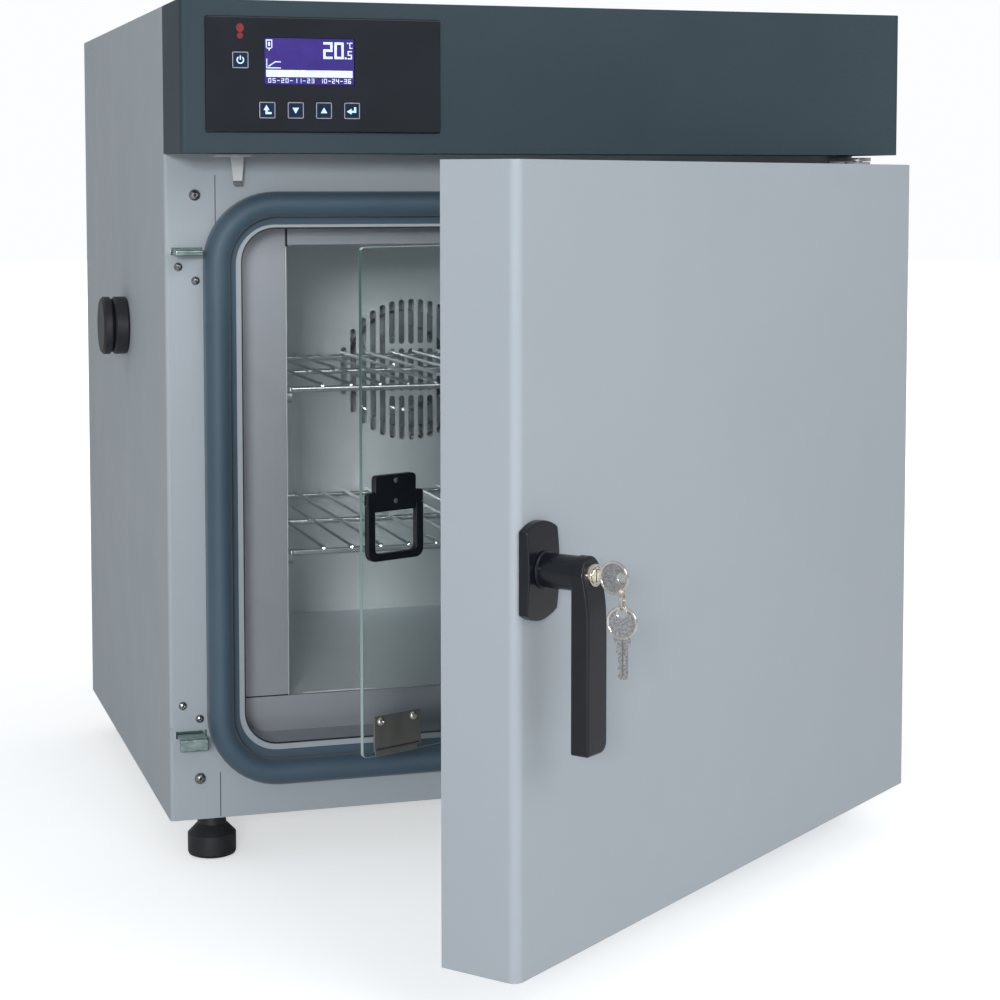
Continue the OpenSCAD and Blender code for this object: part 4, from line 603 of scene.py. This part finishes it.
# The fascia: a glossy moulding, near black with a blue cast, with bevelled edges that shine.
# It is pressed into the header, and has a window for the display and a hole for each key.
fascia_gloss = toned("fascia_gloss", (0.006, 0.009, 0.014), (0.009, 0.012, 0.019), 0.05, Roughness=0.09)[0]
key_names = ("key_power", "key_back", "key_down", "key_up", "key_enter")
key_hole, fascia_step = 6.6 * mm, 6.3 * mm
low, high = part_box("fascia_panel")
fascia_left, fascia_top, fascia_front = low.x, high.z, low.y
openings = [outline(fascia_left + 44.4 * mm, fascia_left + 113.8 * mm, fascia_top - 50.8 * mm,
                    fascia_top - 15.6 * mm, 1 * mm, 1 * mm)]
for key in key_names:
    corner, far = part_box(key)
    middle = (corner + far) / 2
    openings.append(outline(middle.x - key_hole, middle.x + key_hole, middle.z - key_hole,
                            middle.z + key_hole, 1.3 * mm, 1.3 * mm))
face = pierced(outline(low.x, high.x, low.z, high.z, 2 * mm, 2 * mm), openings, low.y, low.y + 2 * mm,
               1.3 * mm, 5)
behind = pierced(outline(low.x + fascia_step, high.x - fascia_step, low.z + fascia_step, high.z - fascia_step,
                         1 * mm, 1 * mm), openings, low.y + 2 * mm, high.y)
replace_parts(assemble("fascia", [(face, fascia_gloss), (behind, fascia_gloss)], "cabinet",
                     crease=12), "fascia_panel")

# The display: a violet panel in the fascia's window, with figures and signs lit on it.
# It shows a temperature, a bar and a row of plain numbers, all made of lit strokes.
display_violet, tree, shader, place = toned("display_violet", (0.03, 0.018, 0.15), (0.05, 0.03, 0.22), 0.02,
                                            Roughness=0.3, Emission_Strength=0.3, Specular_IOR_Level=0.2)
between(tree, grains(tree, place, 0.03, 2.0), (0.03, 0.018, 0.15), (0.05, 0.03, 0.22),
        shader.inputs["Emission Color"])
dress(display_violet, "display_lcd")
lit_white, tree, shader, place = toned("lit_white", (0.5, 0.6, 0.85), (0.7, 0.8, 0.95), 0.003, Roughness=0.4,
                                       Emission_Strength=0.4)
between(tree, grains(tree, place, 0.003, 2.0), (0.6, 0.7, 0.95), (0.8, 0.88, 1.0),
        shader.inputs["Emission Color"])
strokes_of = {"0": "abcdef", "1": "bc", "2": "abged", "3": "abgcd", "4": "fgbc", "5": "afgcd", "6": "afgedc",
              "-": "g", "C": "afed"}
lcd_left = fascia_left + 44.5 * mm
lcd_top = fascia_top - 15.7 * mm
lcd_front = fascia_front + 0.8 * mm


def plate(left, right, bottom, top, front, back, corner=0.0, edge=0.0, hole=None):
    """An upright plate with round corners, its front edges eased, and a window with round corners in it."""
    part = bmesh.new()
    lay = (Matrix.Translation(((left + right) / 2, back, (bottom + top) / 2))
           @ Matrix.Diagonal((right - left, 1.0, top - bottom, 1.0)) @ Matrix.Rotation(math.pi / 2, 4, "X"))
    bmesh.ops.create_grid(part, x_segments=1, y_segments=1, size=0.5, matrix=lay)
    if corner:
        bmesh.ops.bevel(part, geom=part.verts[:], offset=corner, segments=6, affect="VERTICES", profile=0.5,
                        material=-1)
    if hole:
        bmesh.ops.inset_region(part, faces=part.faces[:], thickness=hole, use_even_offset=True,
                               use_boundary=True)
        inner = [face for face in part.faces if all(len(edge.link_faces) == 2 for edge in face.edges)]
        bmesh.ops.delete(part, geom=inner, context="FACES_ONLY")
    grown = thicken(part, front - back)
    if edge:
        bmesh.ops.bevel(part, geom=front_edges(grown), offset=edge, segments=3, affect="EDGES", profile=0.5,
                        material=-1)
    return part


def stroke(left, right, bottom, top):
    """A lit stroke on the display, measured in millimetres from the window's top left corner."""
    return plate(lcd_left + left * mm, lcd_left + right * mm, lcd_top + bottom * mm, lcd_top + top * mm,
                 lcd_front - 0.12 * mm, lcd_front + 0.05 * mm)


def figure(sign, left, bottom, width, height, thick):
    """The strokes of one figure."""
    right, top, middle, half = left + width, bottom + height, bottom + height / 2, thick / 2
    lines = {"a": (left, right, top - thick, top), "b": (right - thick, right, middle, top),
             "c": (right - thick, right, bottom, middle), "d": (left, right, bottom, bottom + thick),
             "e": (left, left + thick, bottom, middle), "f": (left, left + thick, middle, top),
             "g": (left, right, middle - half, middle + half)}
    return [(stroke(*lines[letter]), lit_white) for letter in strokes_of[sign]]


picture = figure("2", 45.2, -15.3, 7.2, 12.6, 1.8) + figure("0", 53.8, -15.3, 7.2, 12.6, 1.8)
picture += figure("5", 64.0, -15.3, 3.4, 6.2, 0.9) + figure("C", 65.4, -7.4, 2.4, 4.6, 0.7)
picture += [(stroke(61.8, 63.2, -15.3, -13.9), lit_white), (stroke(63.6, 64.6, -3.8, -2.8), lit_white)]
picture += [(stroke(1.4, 67.8, -29.2, -24.0), lit_white)]
for count, sign in enumerate("05-20-11-23"):
    picture += figure(sign, 3.0 + count * 3.3, -33.6, 2.2, 3.4, 0.5)
for count, sign in enumerate("10-24-36"):
    picture += figure(sign, 42.6 + count * 3.1, -33.6, 2.2, 3.4, 0.5)
picture += [(stroke(1.6, 2.3, -22.4, -15.8), lit_white), (stroke(1.6, 12.6, -22.9, -22.2), lit_white),
            (stroke(8.4, 12.6, -18.4, -17.6), lit_white)]
for step in range(6):
    right, up = step * 0.9, step * 0.62
    picture.append((stroke(3.2 + right, 4.3 + right, -21.6 + up, -20.7 + up), lit_white))
picture += [(stroke(1.4, 6.2, -2.3, -1.5), lit_white), (stroke(1.4, 2.1, -7.6, -1.5), lit_white),
            (stroke(5.5, 6.2, -7.6, -1.5), lit_white), (stroke(2.1, 5.5, -8.3, -7.6), lit_white),
            (stroke(3.1, 4.5, -6.2, -3.4), lit_white), (stroke(3.4, 4.2, -9.6, -8.3), lit_white)]
assemble("display_picture", picture, "cabinet")

# The key marks: a thin light frame, a navy field and a lit sign printed on each key's cap.
# Each mark moves with its own key. The caps are moulded in dark blue plastic.
key_plastic = toned("key_plastic", (0.01, 0.015, 0.04), (0.015, 0.022, 0.055), 0.003, Roughness=0.3)[0]
dress(key_plastic, *key_names)
frame_grey = toned("frame_grey", (0.3, 0.33, 0.36), (0.38, 0.41, 0.44), 0.004, Roughness=0.35)[0]
navy, tree, shader, place = toned("navy", (0.004, 0.01, 0.035), (0.006, 0.015, 0.05), 0.004, Roughness=0.35,
                                  Emission_Strength=0.12, Specular_IOR_Level=0.2)
between(tree, grains(tree, place, 0.004, 2.0), (0.01, 0.03, 0.11), (0.015, 0.05, 0.16),
        shader.inputs["Emission Color"])
sign_blue, tree, shader, place = toned("sign_blue", (0.3, 0.55, 0.85), (0.5, 0.72, 0.95), 0.002,
                                       Roughness=0.3, Emission_Strength=0.6)
between(tree, grains(tree, place, 0.002, 2.0), (0.4, 0.65, 0.95), (0.6, 0.82, 1.0),
        shader.inputs["Emission Color"])
print_depth = 0.12 * mm


def arrow_head(x, front, z, radius, turn):
    """A flat triangle whose point is turned from straight up."""
    part = bmesh.new()
    lay = Matrix.Translation((x, front, z)) @ Matrix.Rotation(turn + math.pi / 2, 4, "Y")
    lay = lay @ Matrix.Rotation(math.pi / 2, 4, "X") @ Matrix.Rotation(math.pi / 2, 4, "Z")
    bmesh.ops.create_circle(part, cap_ends=True, segments=3, radius=radius, matrix=lay)
    thicken(part, -print_depth)
    return part


for key in key_names:
    low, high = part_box(key)
    x, z, front = (low.x + high.x) / 2, (low.z + high.z) / 2, low.y

    def printed(left, right, bottom, top, depth=print_depth, corner=0.1 * mm, hole=None):
        return plate(x + left * mm, x + right * mm, z + bottom * mm, z + top * mm, front - depth, front,
                     corner, hole=hole)

    parts = [(printed(-6.1, 6.1, -6.1, 6.1, corner=1.1 * mm, hole=0.6 * mm), frame_grey),
             (printed(-4.9, 4.9, -4.9, 4.9, print_depth / 2, 0.4 * mm), navy)]
    if key == "key_power":
        arc = bmesh.new()
        rim = [arc.verts.new((x + radius * math.sin(0.6) * mm, front - print_depth,
                              z + radius * math.cos(0.6) * mm)) for radius in (2.0, 2.9)]
        edge = [arc.edges.new(rim)]
        bmesh.ops.spin(arc, geom=rim + edge, cent=(x, front, z), axis=(0, 1, 0), angle=2 * math.pi - 1.2,
                       steps=20)
        parts += [(arc, sign_blue), (printed(-0.45, 0.45, 0.2, 3.2), sign_blue)]
    if key == "key_back":
        parts += [(arrow_head(x - 0.6 * mm, front, z + 1.3 * mm, 2.6 * mm, 0.0), sign_blue),
                  (printed(-1.4, 0.2, -2.6, 0.6), sign_blue), (printed(-1.4, 3.2, -3.0, -1.4), sign_blue)]
    if key == "key_down":
        parts.append((arrow_head(x, front, z + 0.5 * mm, 2.9 * mm, math.pi), sign_blue))
    if key == "key_up":
        parts.append((arrow_head(x, front, z - 0.5 * mm, 2.9 * mm, 0.0), sign_blue))
    if key == "key_enter":
        parts += [(arrow_head(x - 1.6 * mm, front, z - 0.6 * mm, 2.5 * mm, -math.pi / 2), sign_blue),
                  (printed(-1.0, 3.2, -1.4, 0.2), sign_blue), (printed(1.6, 3.2, -1.4, 2.8), sign_blue)]
    assemble(key + "_mark", parts, key + "_cap")


# The indicator: a dim red upright sign lit from behind, weak because the chamber isn't heating.
# It is printed on the fascia, as a long upper spot over a small round one.
def disc(x, z, radius, steps=24):
    """Points round a circle."""
    turns = [2 * math.pi * step / steps for step in range(steps)]
    return [(x + radius * math.cos(turn), z + radius * math.sin(turn)) for turn in turns]


lens_red, tree, shader, place = toned("lens_red", (0.09, 0.006, 0.005), (0.17, 0.012, 0.01), 0.002,
                                      Roughness=0.3, Emission_Strength=0.25)
between(tree, grains(tree, place, 0.002, 2.0), (0.25, 0.015, 0.012), (0.5, 0.04, 0.03),
        shader.inputs["Emission Color"])
lens_x, lens_z = fascia_left + 26.2 * mm, fascia_top - 11.5 * mm
upper = [(lens_x + (x - lens_x) * 0.85, z) for x, z in disc(lens_x, lens_z + 2.6 * mm, 3.3 * mm)]
lower = disc(lens_x, lens_z - 3.2 * mm, 2.3 * mm)
assemble("indicator_sign", [(pierced(spot, [], fascia_front - 0.12 * mm, fascia_front + 0.1 * mm), lens_red)
                            for spot in (upper, lower)], "cabinet")

# The glass door's pane: float glass with round corners and sea-green ground edges, their colour painted with
# light and shade.
# Its place is worked out closed, then turned to where it stands open.
pane_clear = toned("pane_clear", (0.93, 0.97, 0.96), (0.96, 0.99, 0.98), 0.1, Roughness=0.0,
                   Transmission_Weight=1.0, IOR=1.45)[0]
# Painted light and shade: the side edges are light low down and dark higher up, and the top edge is a lighter
# copy.
pane_edge_painted_shading, tree, shader, place = shader_for("pane_edge_painted_shading", Roughness=0.2)
height = tree.nodes.new("ShaderNodeSeparateXYZ")
tree.links.new(place, height.inputs[0])
between(tree, height.outputs["Z"], (0.35, 0.46, 0.44), (0.055, 0.115, 0.105), shader.inputs["Base Color"],
        0.15, 0.4)
pane_top_painted_light = toned("pane_top_painted_light", (0.6, 0.7, 0.68), (0.75, 0.83, 0.8), 0.02, Roughness=0.2)[0]
glass_turn = (Matrix.Translation((218 * mm, 20 * mm, 0)) @ Matrix.Rotation(math.radians(22.6), 4, "Z")
              @ Matrix.Translation((-218 * mm, -20 * mm, 0)))
pane_low, pane_high = Vector((-202, 18.6, 109.6)) * mm, Vector((213, 21.6, 495.4)) * mm
pane = plate(pane_low.x, pane_high.x, pane_low.z, pane_high.z, pane_low.y, pane_high.y, 4 * mm, 0.5 * mm)
glass = assemble("glass_sheet", [(pane, pane_clear)], "glass_door", glass_turn)
glass.data.materials.append(pane_edge_painted_shading)
glass.data.materials.append(pane_top_painted_light)
face_way = glass_turn.to_3x3() @ Vector((0, 1, 0))
for face in glass.data.polygons:
    if abs(face.normal.dot(face_way)) < 0.9:
        face.material_index = 2 if face.normal.z > 0.5 else 1
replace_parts(glass, "glass_pane")

# The pull: a thin black plate screwed through the glass, with a drop ring hinged in its lower edge.
# Both are die castings, painted satin black.
satin_black, tree, shader, place = toned("satin_black", (0.004, 0.006, 0.009), (0.006, 0.008, 0.012), 0.02,
                                         3.0, Roughness=0.26, Specular_IOR_Level=0.4)
relief(tree, grains(tree, place, 0.0007, 2.0), 0.012 * mm, shader)
dark_steel = toned("dark_steel", (0.17, 0.172, 0.155), (0.23, 0.232, 0.21), 0.02, 3.0, (1.0, 1.0, 0.3),
                   Metallic=0.7, Roughness=0.38)[0]
pull_x, pull_front, pane_face = -174 * mm, 13.4 * mm, 18.6 * mm
small_screws = []
for z in (319.5 * mm, 304 * mm):
    small_screws.append((turned([(0.0, 0.6 * mm), (1.2 * mm, 0.5 * mm), (2.0 * mm, 0.0), (2.0 * mm, -0.5 * mm),
                                 (0.0, -0.5 * mm)], (pull_x, pull_front, z), (0, -1, 0), 20), dark_steel))
    small_screws.append((turned([(0.0, 2 * mm), (2.2 * mm, 1.5 * mm), (3.3 * mm, 0.0), (0.0, 0.0)],
                                (pull_x, pane_high.y, z), (0, 1, 0), 24), screw_steel))
half = [(19.2, 296.5), (19.2, 301.6), (26.0, 301.6), (26.0, 309.5), (25.4, 310.6), (24.2, 311.0),
        (19.2, 311.4), (19.2, 320.5), (18.8, 322.3), (17.7, 323.5), (16.0, 324.0)]
rim = [(pull_x + x * mm, z * mm) for x, z in half] + [(pull_x - x * mm, z * mm) for x, z in reversed(half)]
base = pierced(rim, [], pull_front, pane_face, 0.5 * mm)
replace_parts(assemble("pull_base", [(base, satin_black), *small_screws], "glass_door",
                     glass_turn), "pull_plate")
loop_outer, loop_inner, loop_top, hinge_y = 26.1 * mm, 19.5 * mm, 301.2 * mm, 14.8 * mm
lower = [(pull_x + loop_outer + (7 * math.cos(turn) - 7) * mm, 266.2 * mm + 7 * math.sin(turn) * mm)
         for turn in (-math.pi / 2 * step / 6 for step in range(7))]
inner = [(pull_x + loop_inner + (4 * math.cos(turn) - 4) * mm, 268.8 * mm + 4 * math.sin(turn) * mm)
         for turn in (-math.pi / 2 * step / 6 for step in range(7))]
loop = [(pull_x + loop_outer, loop_top), *lower, *[(2 * pull_x - x, z) for x, z in reversed(lower)],
        (pull_x - loop_outer, loop_top), (pull_x - loop_inner, loop_top),
        *[(2 * pull_x - x, z) for x, z in inner], *reversed(inner), (pull_x + loop_inner, loop_top)]
ring = [(pierced(loop, [], 13.2 * mm, 17.8 * mm, 0.6 * mm), satin_black)]
for side in (-1, 1):
    ring.append((rod((pull_x + side * 18 * mm, hinge_y, 299 * mm),
                     (pull_x + side * 22 * mm, hinge_y, 299 * mm), 1.2 * mm), satin_black))
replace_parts(assemble("pull_loop", ring, "pull", glass_turn), "pull_ring")

# The catch plate: dark steel bent round the pane's lower corner, with a rolled lip and two bright screws.
# It meets the magnet in the bottom rail. The hinge clips of the pane have the same nickel as the screws.
nickel_and_highlight = toned("nickel_and_highlight", (0.6, 0.57, 0.52), (0.75, 0.72, 0.67), 0.004, Metallic=1.0, Roughness=0.18)[0]
dress(nickel_and_highlight, "glass_clips")
catch_face = 17.2 * mm
cover = pierced(outline(-192.3 * mm, -147.5 * mm, 113.5 * mm, 140 * mm, 0.5 * mm, 1.5 * mm), [], catch_face,
                pane_face, 0.4 * mm)
# Painted shade: a black strip along the bend stands in for the shade in the crease.
crease_shade = block((-190.5 * mm, 17.1 * mm, 114.6 * mm), (-149.5 * mm, 17.4 * mm, 115.5 * mm))
lip = block((-191.6 * mm, 16.6 * mm, 109.4 * mm), (-152 * mm, 18.2 * mm, 114.2 * mm), 0.5 * mm)
catch = [(cover, dark_steel), (crease_shade, black_rubber), (lip, dark_steel)]
catch += [(screw_head((x * mm, catch_face, 136 * mm), small_head, -1, True), nickel_and_highlight)
          for x in (-186.3, -155.3)]
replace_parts(assemble("catch_corner", catch, "glass_door", glass_turn), "catch_plate")

# The outer door: a folded and painted skin over an inner panel. Its vertical edges are round.
# Its pieces are worked out with the door closed, then turned with it to where it stands open.
eased_edges("door_skin", 1 * mm)
door_turn = (Matrix.Translation((281.8 * mm, -50 * mm, 0)) @ Matrix.Rotation(math.radians(38.36), 4, "Z")
             @ Matrix.Translation((-281.8 * mm, 50 * mm, 0)))


# The handle: a rosette, a round neck and a slim bevelled grip, cast and painted satin black.
# The rosette is screwed through the skin, and the neck turns in it with the latch's spindle.
def bowed(part, back, depth, rows, lift):
    """Cuts a part across at these heights, then moves it outwards in proportion to its depth."""
    for row in rows:
        bmesh.ops.bisect_plane(part, geom=part.verts[:] + part.edges[:] + part.faces[:], dist=0.0000001,
                               plane_co=(0, 0, row), plane_no=(0, 0, 1))
    for vert in part.verts:
        vert.co.y -= (back - vert.co.y) / depth * lift(vert.co.z)
    return part


lock_x, lock_z, door_front = -275.5 * mm, 300 * mm, -93.5 * mm
grip_back, grip_front, grip_radius = -128.5 * mm, -141 * mm, 11.5 * mm
rosette_side, rosette_thick = 17.8, 5 * mm
round_end = [(31.8 * math.cos(math.pi * turn / 48), 31.8 * math.sin(math.pi * turn / 48))
             for turn in range(96)]
rim = [(lock_x + (0.2 + max(min(x, rosette_side), -rosette_side)) * mm, lock_z + (z - 1) * mm)
       for x, z in round_end if abs(x) < rosette_side or abs(z) < 27.2]
rim = [point for count, point in enumerate(rim)
       if count == 0 or (Vector(point) - Vector(rim[count - 1])).length > 0.00001]
rosette = bowed(pierced(rim, [], door_front - rosette_thick, door_front, 0.7 * mm), door_front, rosette_thick,
                [lock_z + row * 4 * mm for row in range(-7, 8)],
                lambda z: 2.8 * mm * max(0.0, 1 - ((z - lock_z) / (32 * mm)) ** 2))
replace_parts(assemble("handle_rosette", [(rosette, satin_black)], "door", door_turn),
            "lock_rosette")

grip_low = lock_z - 113 * mm
rim = [(lock_x - grip_radius * math.cos(math.pi * turn / 30),
        lock_z - 1 * mm + 1.12 * grip_radius * math.sin(math.pi * turn / 30)) for turn in range(31)]
rim += [(lock_x + grip_radius - 7 * mm + 7 * mm * math.cos(turn), grip_low + 7 * mm - 7 * mm * math.sin(turn))
        for turn in (math.pi / 2 * step / 8 for step in range(9))]
rim += [(lock_x - grip_radius + 2 * mm - 2 * mm * math.sin(turn), grip_low + 2 * mm - 2 * mm * math.cos(turn))
        for turn in (math.pi / 2 * step / 5 for step in range(6))]
grip = bowed(pierced(rim, [], grip_front, grip_back, 1.7 * mm, 4), grip_back, grip_back - grip_front,
             [lock_z + row * 3 * mm for row in range(-14, 4)],
             lambda z: -6 * mm / (1 + math.exp(-((z - lock_z) / mm + 6) / 7)))
neck_line = [(0.0, 0.0), (12.0, 0.0), (12.2, 0.4), (12.0, 0.9), (11.3, 1.3), (11.1, 2.0), (11.1, 30.0),
             (0.0, 30.0)]
neck = turned([(r * mm, h * mm) for r, h in neck_line], (lock_x, door_front - 8 * mm, lock_z), (0, -1, 0), 64)
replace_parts(assemble("handle_grip", [(grip, satin_black), (neck, satin_black)], "handle",
                     door_turn), "handle_lever")

# The lock and its keys: a plated barrel in the lever's head, one key in it and a spare on a split ring.
# The bows are stamped discs with a raised rim and a mottled middle; rims and shank are in a brighter metal as
# painted highlight, and the blades have their cuts.
key_silver, tree, shader, place = toned("key_silver", (0.24, 0.245, 0.255), (0.5, 0.51, 0.53), 0.0012, 3.0,
                                        Metallic=1.0, Roughness=0.3)
relief(tree, grains(tree, place, 0.0011, 2.0), 0.1 * mm, shader)
ring_steel = toned("ring_steel", (0.62, 0.56, 0.46), (0.8, 0.75, 0.66), 0.004, Metallic=1.0,
                   Roughness=0.16)[0]
edge_on = Matrix.Translation((lock_x, 0, 0)) @ Matrix.Rotation(math.pi / 2, 4, "Z")


def bow(y, z, hole_z):
    """A key's bow standing edge-on to the door: a pierced disc with raised rims in a brighter metal, a painted
    highlight.
    """
    flat = pierced(disc(y, z, 9.6 * mm, 48), [disc(hole_y, hole_z, 3.05 * mm)], -0.8 * mm, 0.8 * mm)
    bmesh.ops.transform(flat, matrix=edge_on, verts=flat.verts)
    highlight_rims = []
    for middle_y, middle_z, inner, outer in ((y, z, 8.9, 10.35), (hole_y, hole_z, 2.95, 3.8)):
        line = [(inner, -0.9), (inner + 0.3, -1.1), (outer - 0.3, -1.1), (outer, -0.7), (outer, 0.7),
                (outer - 0.3, 1.1), (inner + 0.3, 1.1), (inner, 0.9), (inner, -0.9)]
        highlight_rims.append((turned([(r * mm, h * mm) for r, h in line], (lock_x, middle_y, middle_z), (1, 0, 0), 40),
                     nickel_and_highlight))
    return [(flat, key_silver), *highlight_rims]


def lock_round(line):
    """A part of the lock turned about its axis, in millimetres of radius and height from the grip's face."""
    return turned([(r * mm, h * mm) for r, h in line], (lock_x, grip_front, lock_z), (0, -1, 0))


bow_y, hole_y = -152.5 * mm, -158.5 * mm
barrel = lock_round([(0.0, -6.5), (7.0, -6.5), (7.3, -6.2), (7.3, -1.9), (6.9, -1.3), (6.0, -1.3),
                     (5.8, -1.7), (0.0, -1.7)])
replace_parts(assemble("lock_barrel", [(barrel, ring_steel)], "handle", door_turn), "lock_cylinder")
core = lock_round([(0.0, -5.0), (5.5, -5.0), (5.5, -1.0), (5.0, -0.5), (0.0, -0.5)])
# Painted shade: a black block in the plug's face stands in for the dark of the keyway.
keyway_shade = block((lock_x - 1.5 * mm, grip_front + 0.4 * mm, lock_z - 4 * mm),
             (lock_x + 1.5 * mm, grip_front + 2 * mm, lock_z + 4 * mm))
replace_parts(assemble("lock_core", [(core, ring_steel), (keyway_shade, black_rubber)], "lock_key",
                     door_turn), "lock_plug")
shank = block((lock_x - 1.1 * mm, -143 * mm, 296.4 * mm), (lock_x + 1.1 * mm, -138 * mm, 303.6 * mm),
              0.25 * mm)
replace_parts(assemble("lock_key_bow", [*bow(bow_y, lock_z, lock_z), (shank, nickel_and_highlight)], "lock_key",
                     door_turn), "key")
coils = []
leaning = Vector((0.391, -0.9204, 0.0))
coil_radius, wire = 9.0, 0.4
for shift in (-0.42, 0.42):
    line = [((coil_radius + wire * math.cos(turn * math.pi / 5)) * mm,
             (shift + wire * math.sin(turn * math.pi / 5)) * mm) for turn in range(11)]
    coils.append((turned(line, (lock_x, hole_y, 289.12 * mm), leaning, 64), ring_steel))
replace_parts(assemble("split_ring", coils, "ring", door_turn), "key_ring")
spare_z, spare_hole = 272.3 * mm, 278.24 * mm
cuts = [(-3.7, -9.0), (-5.4, -9.6), (-5.4, -12.6), (-3.7, -13.4), (-3.7, -34.0), (-2.4, -35.2), (1.2, -35.2),
        (2.2, -33.8), (2.2, -32.0), (1.3, -31.2), (1.3, -30.0), (2.6, -28.8), (2.6, -27.6), (1.6, -26.8),
        (1.6, -25.2), (3.0, -24.0), (3.0, -22.4), (1.9, -21.4), (1.9, -19.8), (3.6, -18.4), (3.6, -13.4),
        (5.4, -12.6), (5.4, -9.6), (3.7, -9.0)]
blade = pierced([(hole_y + y * mm, spare_z + z * mm) for y, z in cuts], [], -1 * mm, 1 * mm, 0.25 * mm, 2)
bmesh.ops.transform(blade, matrix=edge_on, verts=blade.verts)
# Painted shade: a darker strip along the blade stands in for its milled groove.
groove_shade = block((lock_x - 1.15 * mm, hole_y - 1.2 * mm, spare_z - 33 * mm),
               (lock_x + 1.15 * mm, hole_y - 0.2 * mm, spare_z - 10 * mm))
hang = (Matrix.Translation((lock_x, hole_y, 0)) @ Matrix.Rotation(math.radians(8), 4, "Z")
        @ Matrix.Translation((-lock_x, -hole_y, 0)))
spare = [*bow(hole_y, spare_z, spare_hole), (blade, key_silver), (groove_shade, dark_steel)]
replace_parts(assemble("spare_key_cut", spare, "spare", door_turn @ hang), "spare_key")
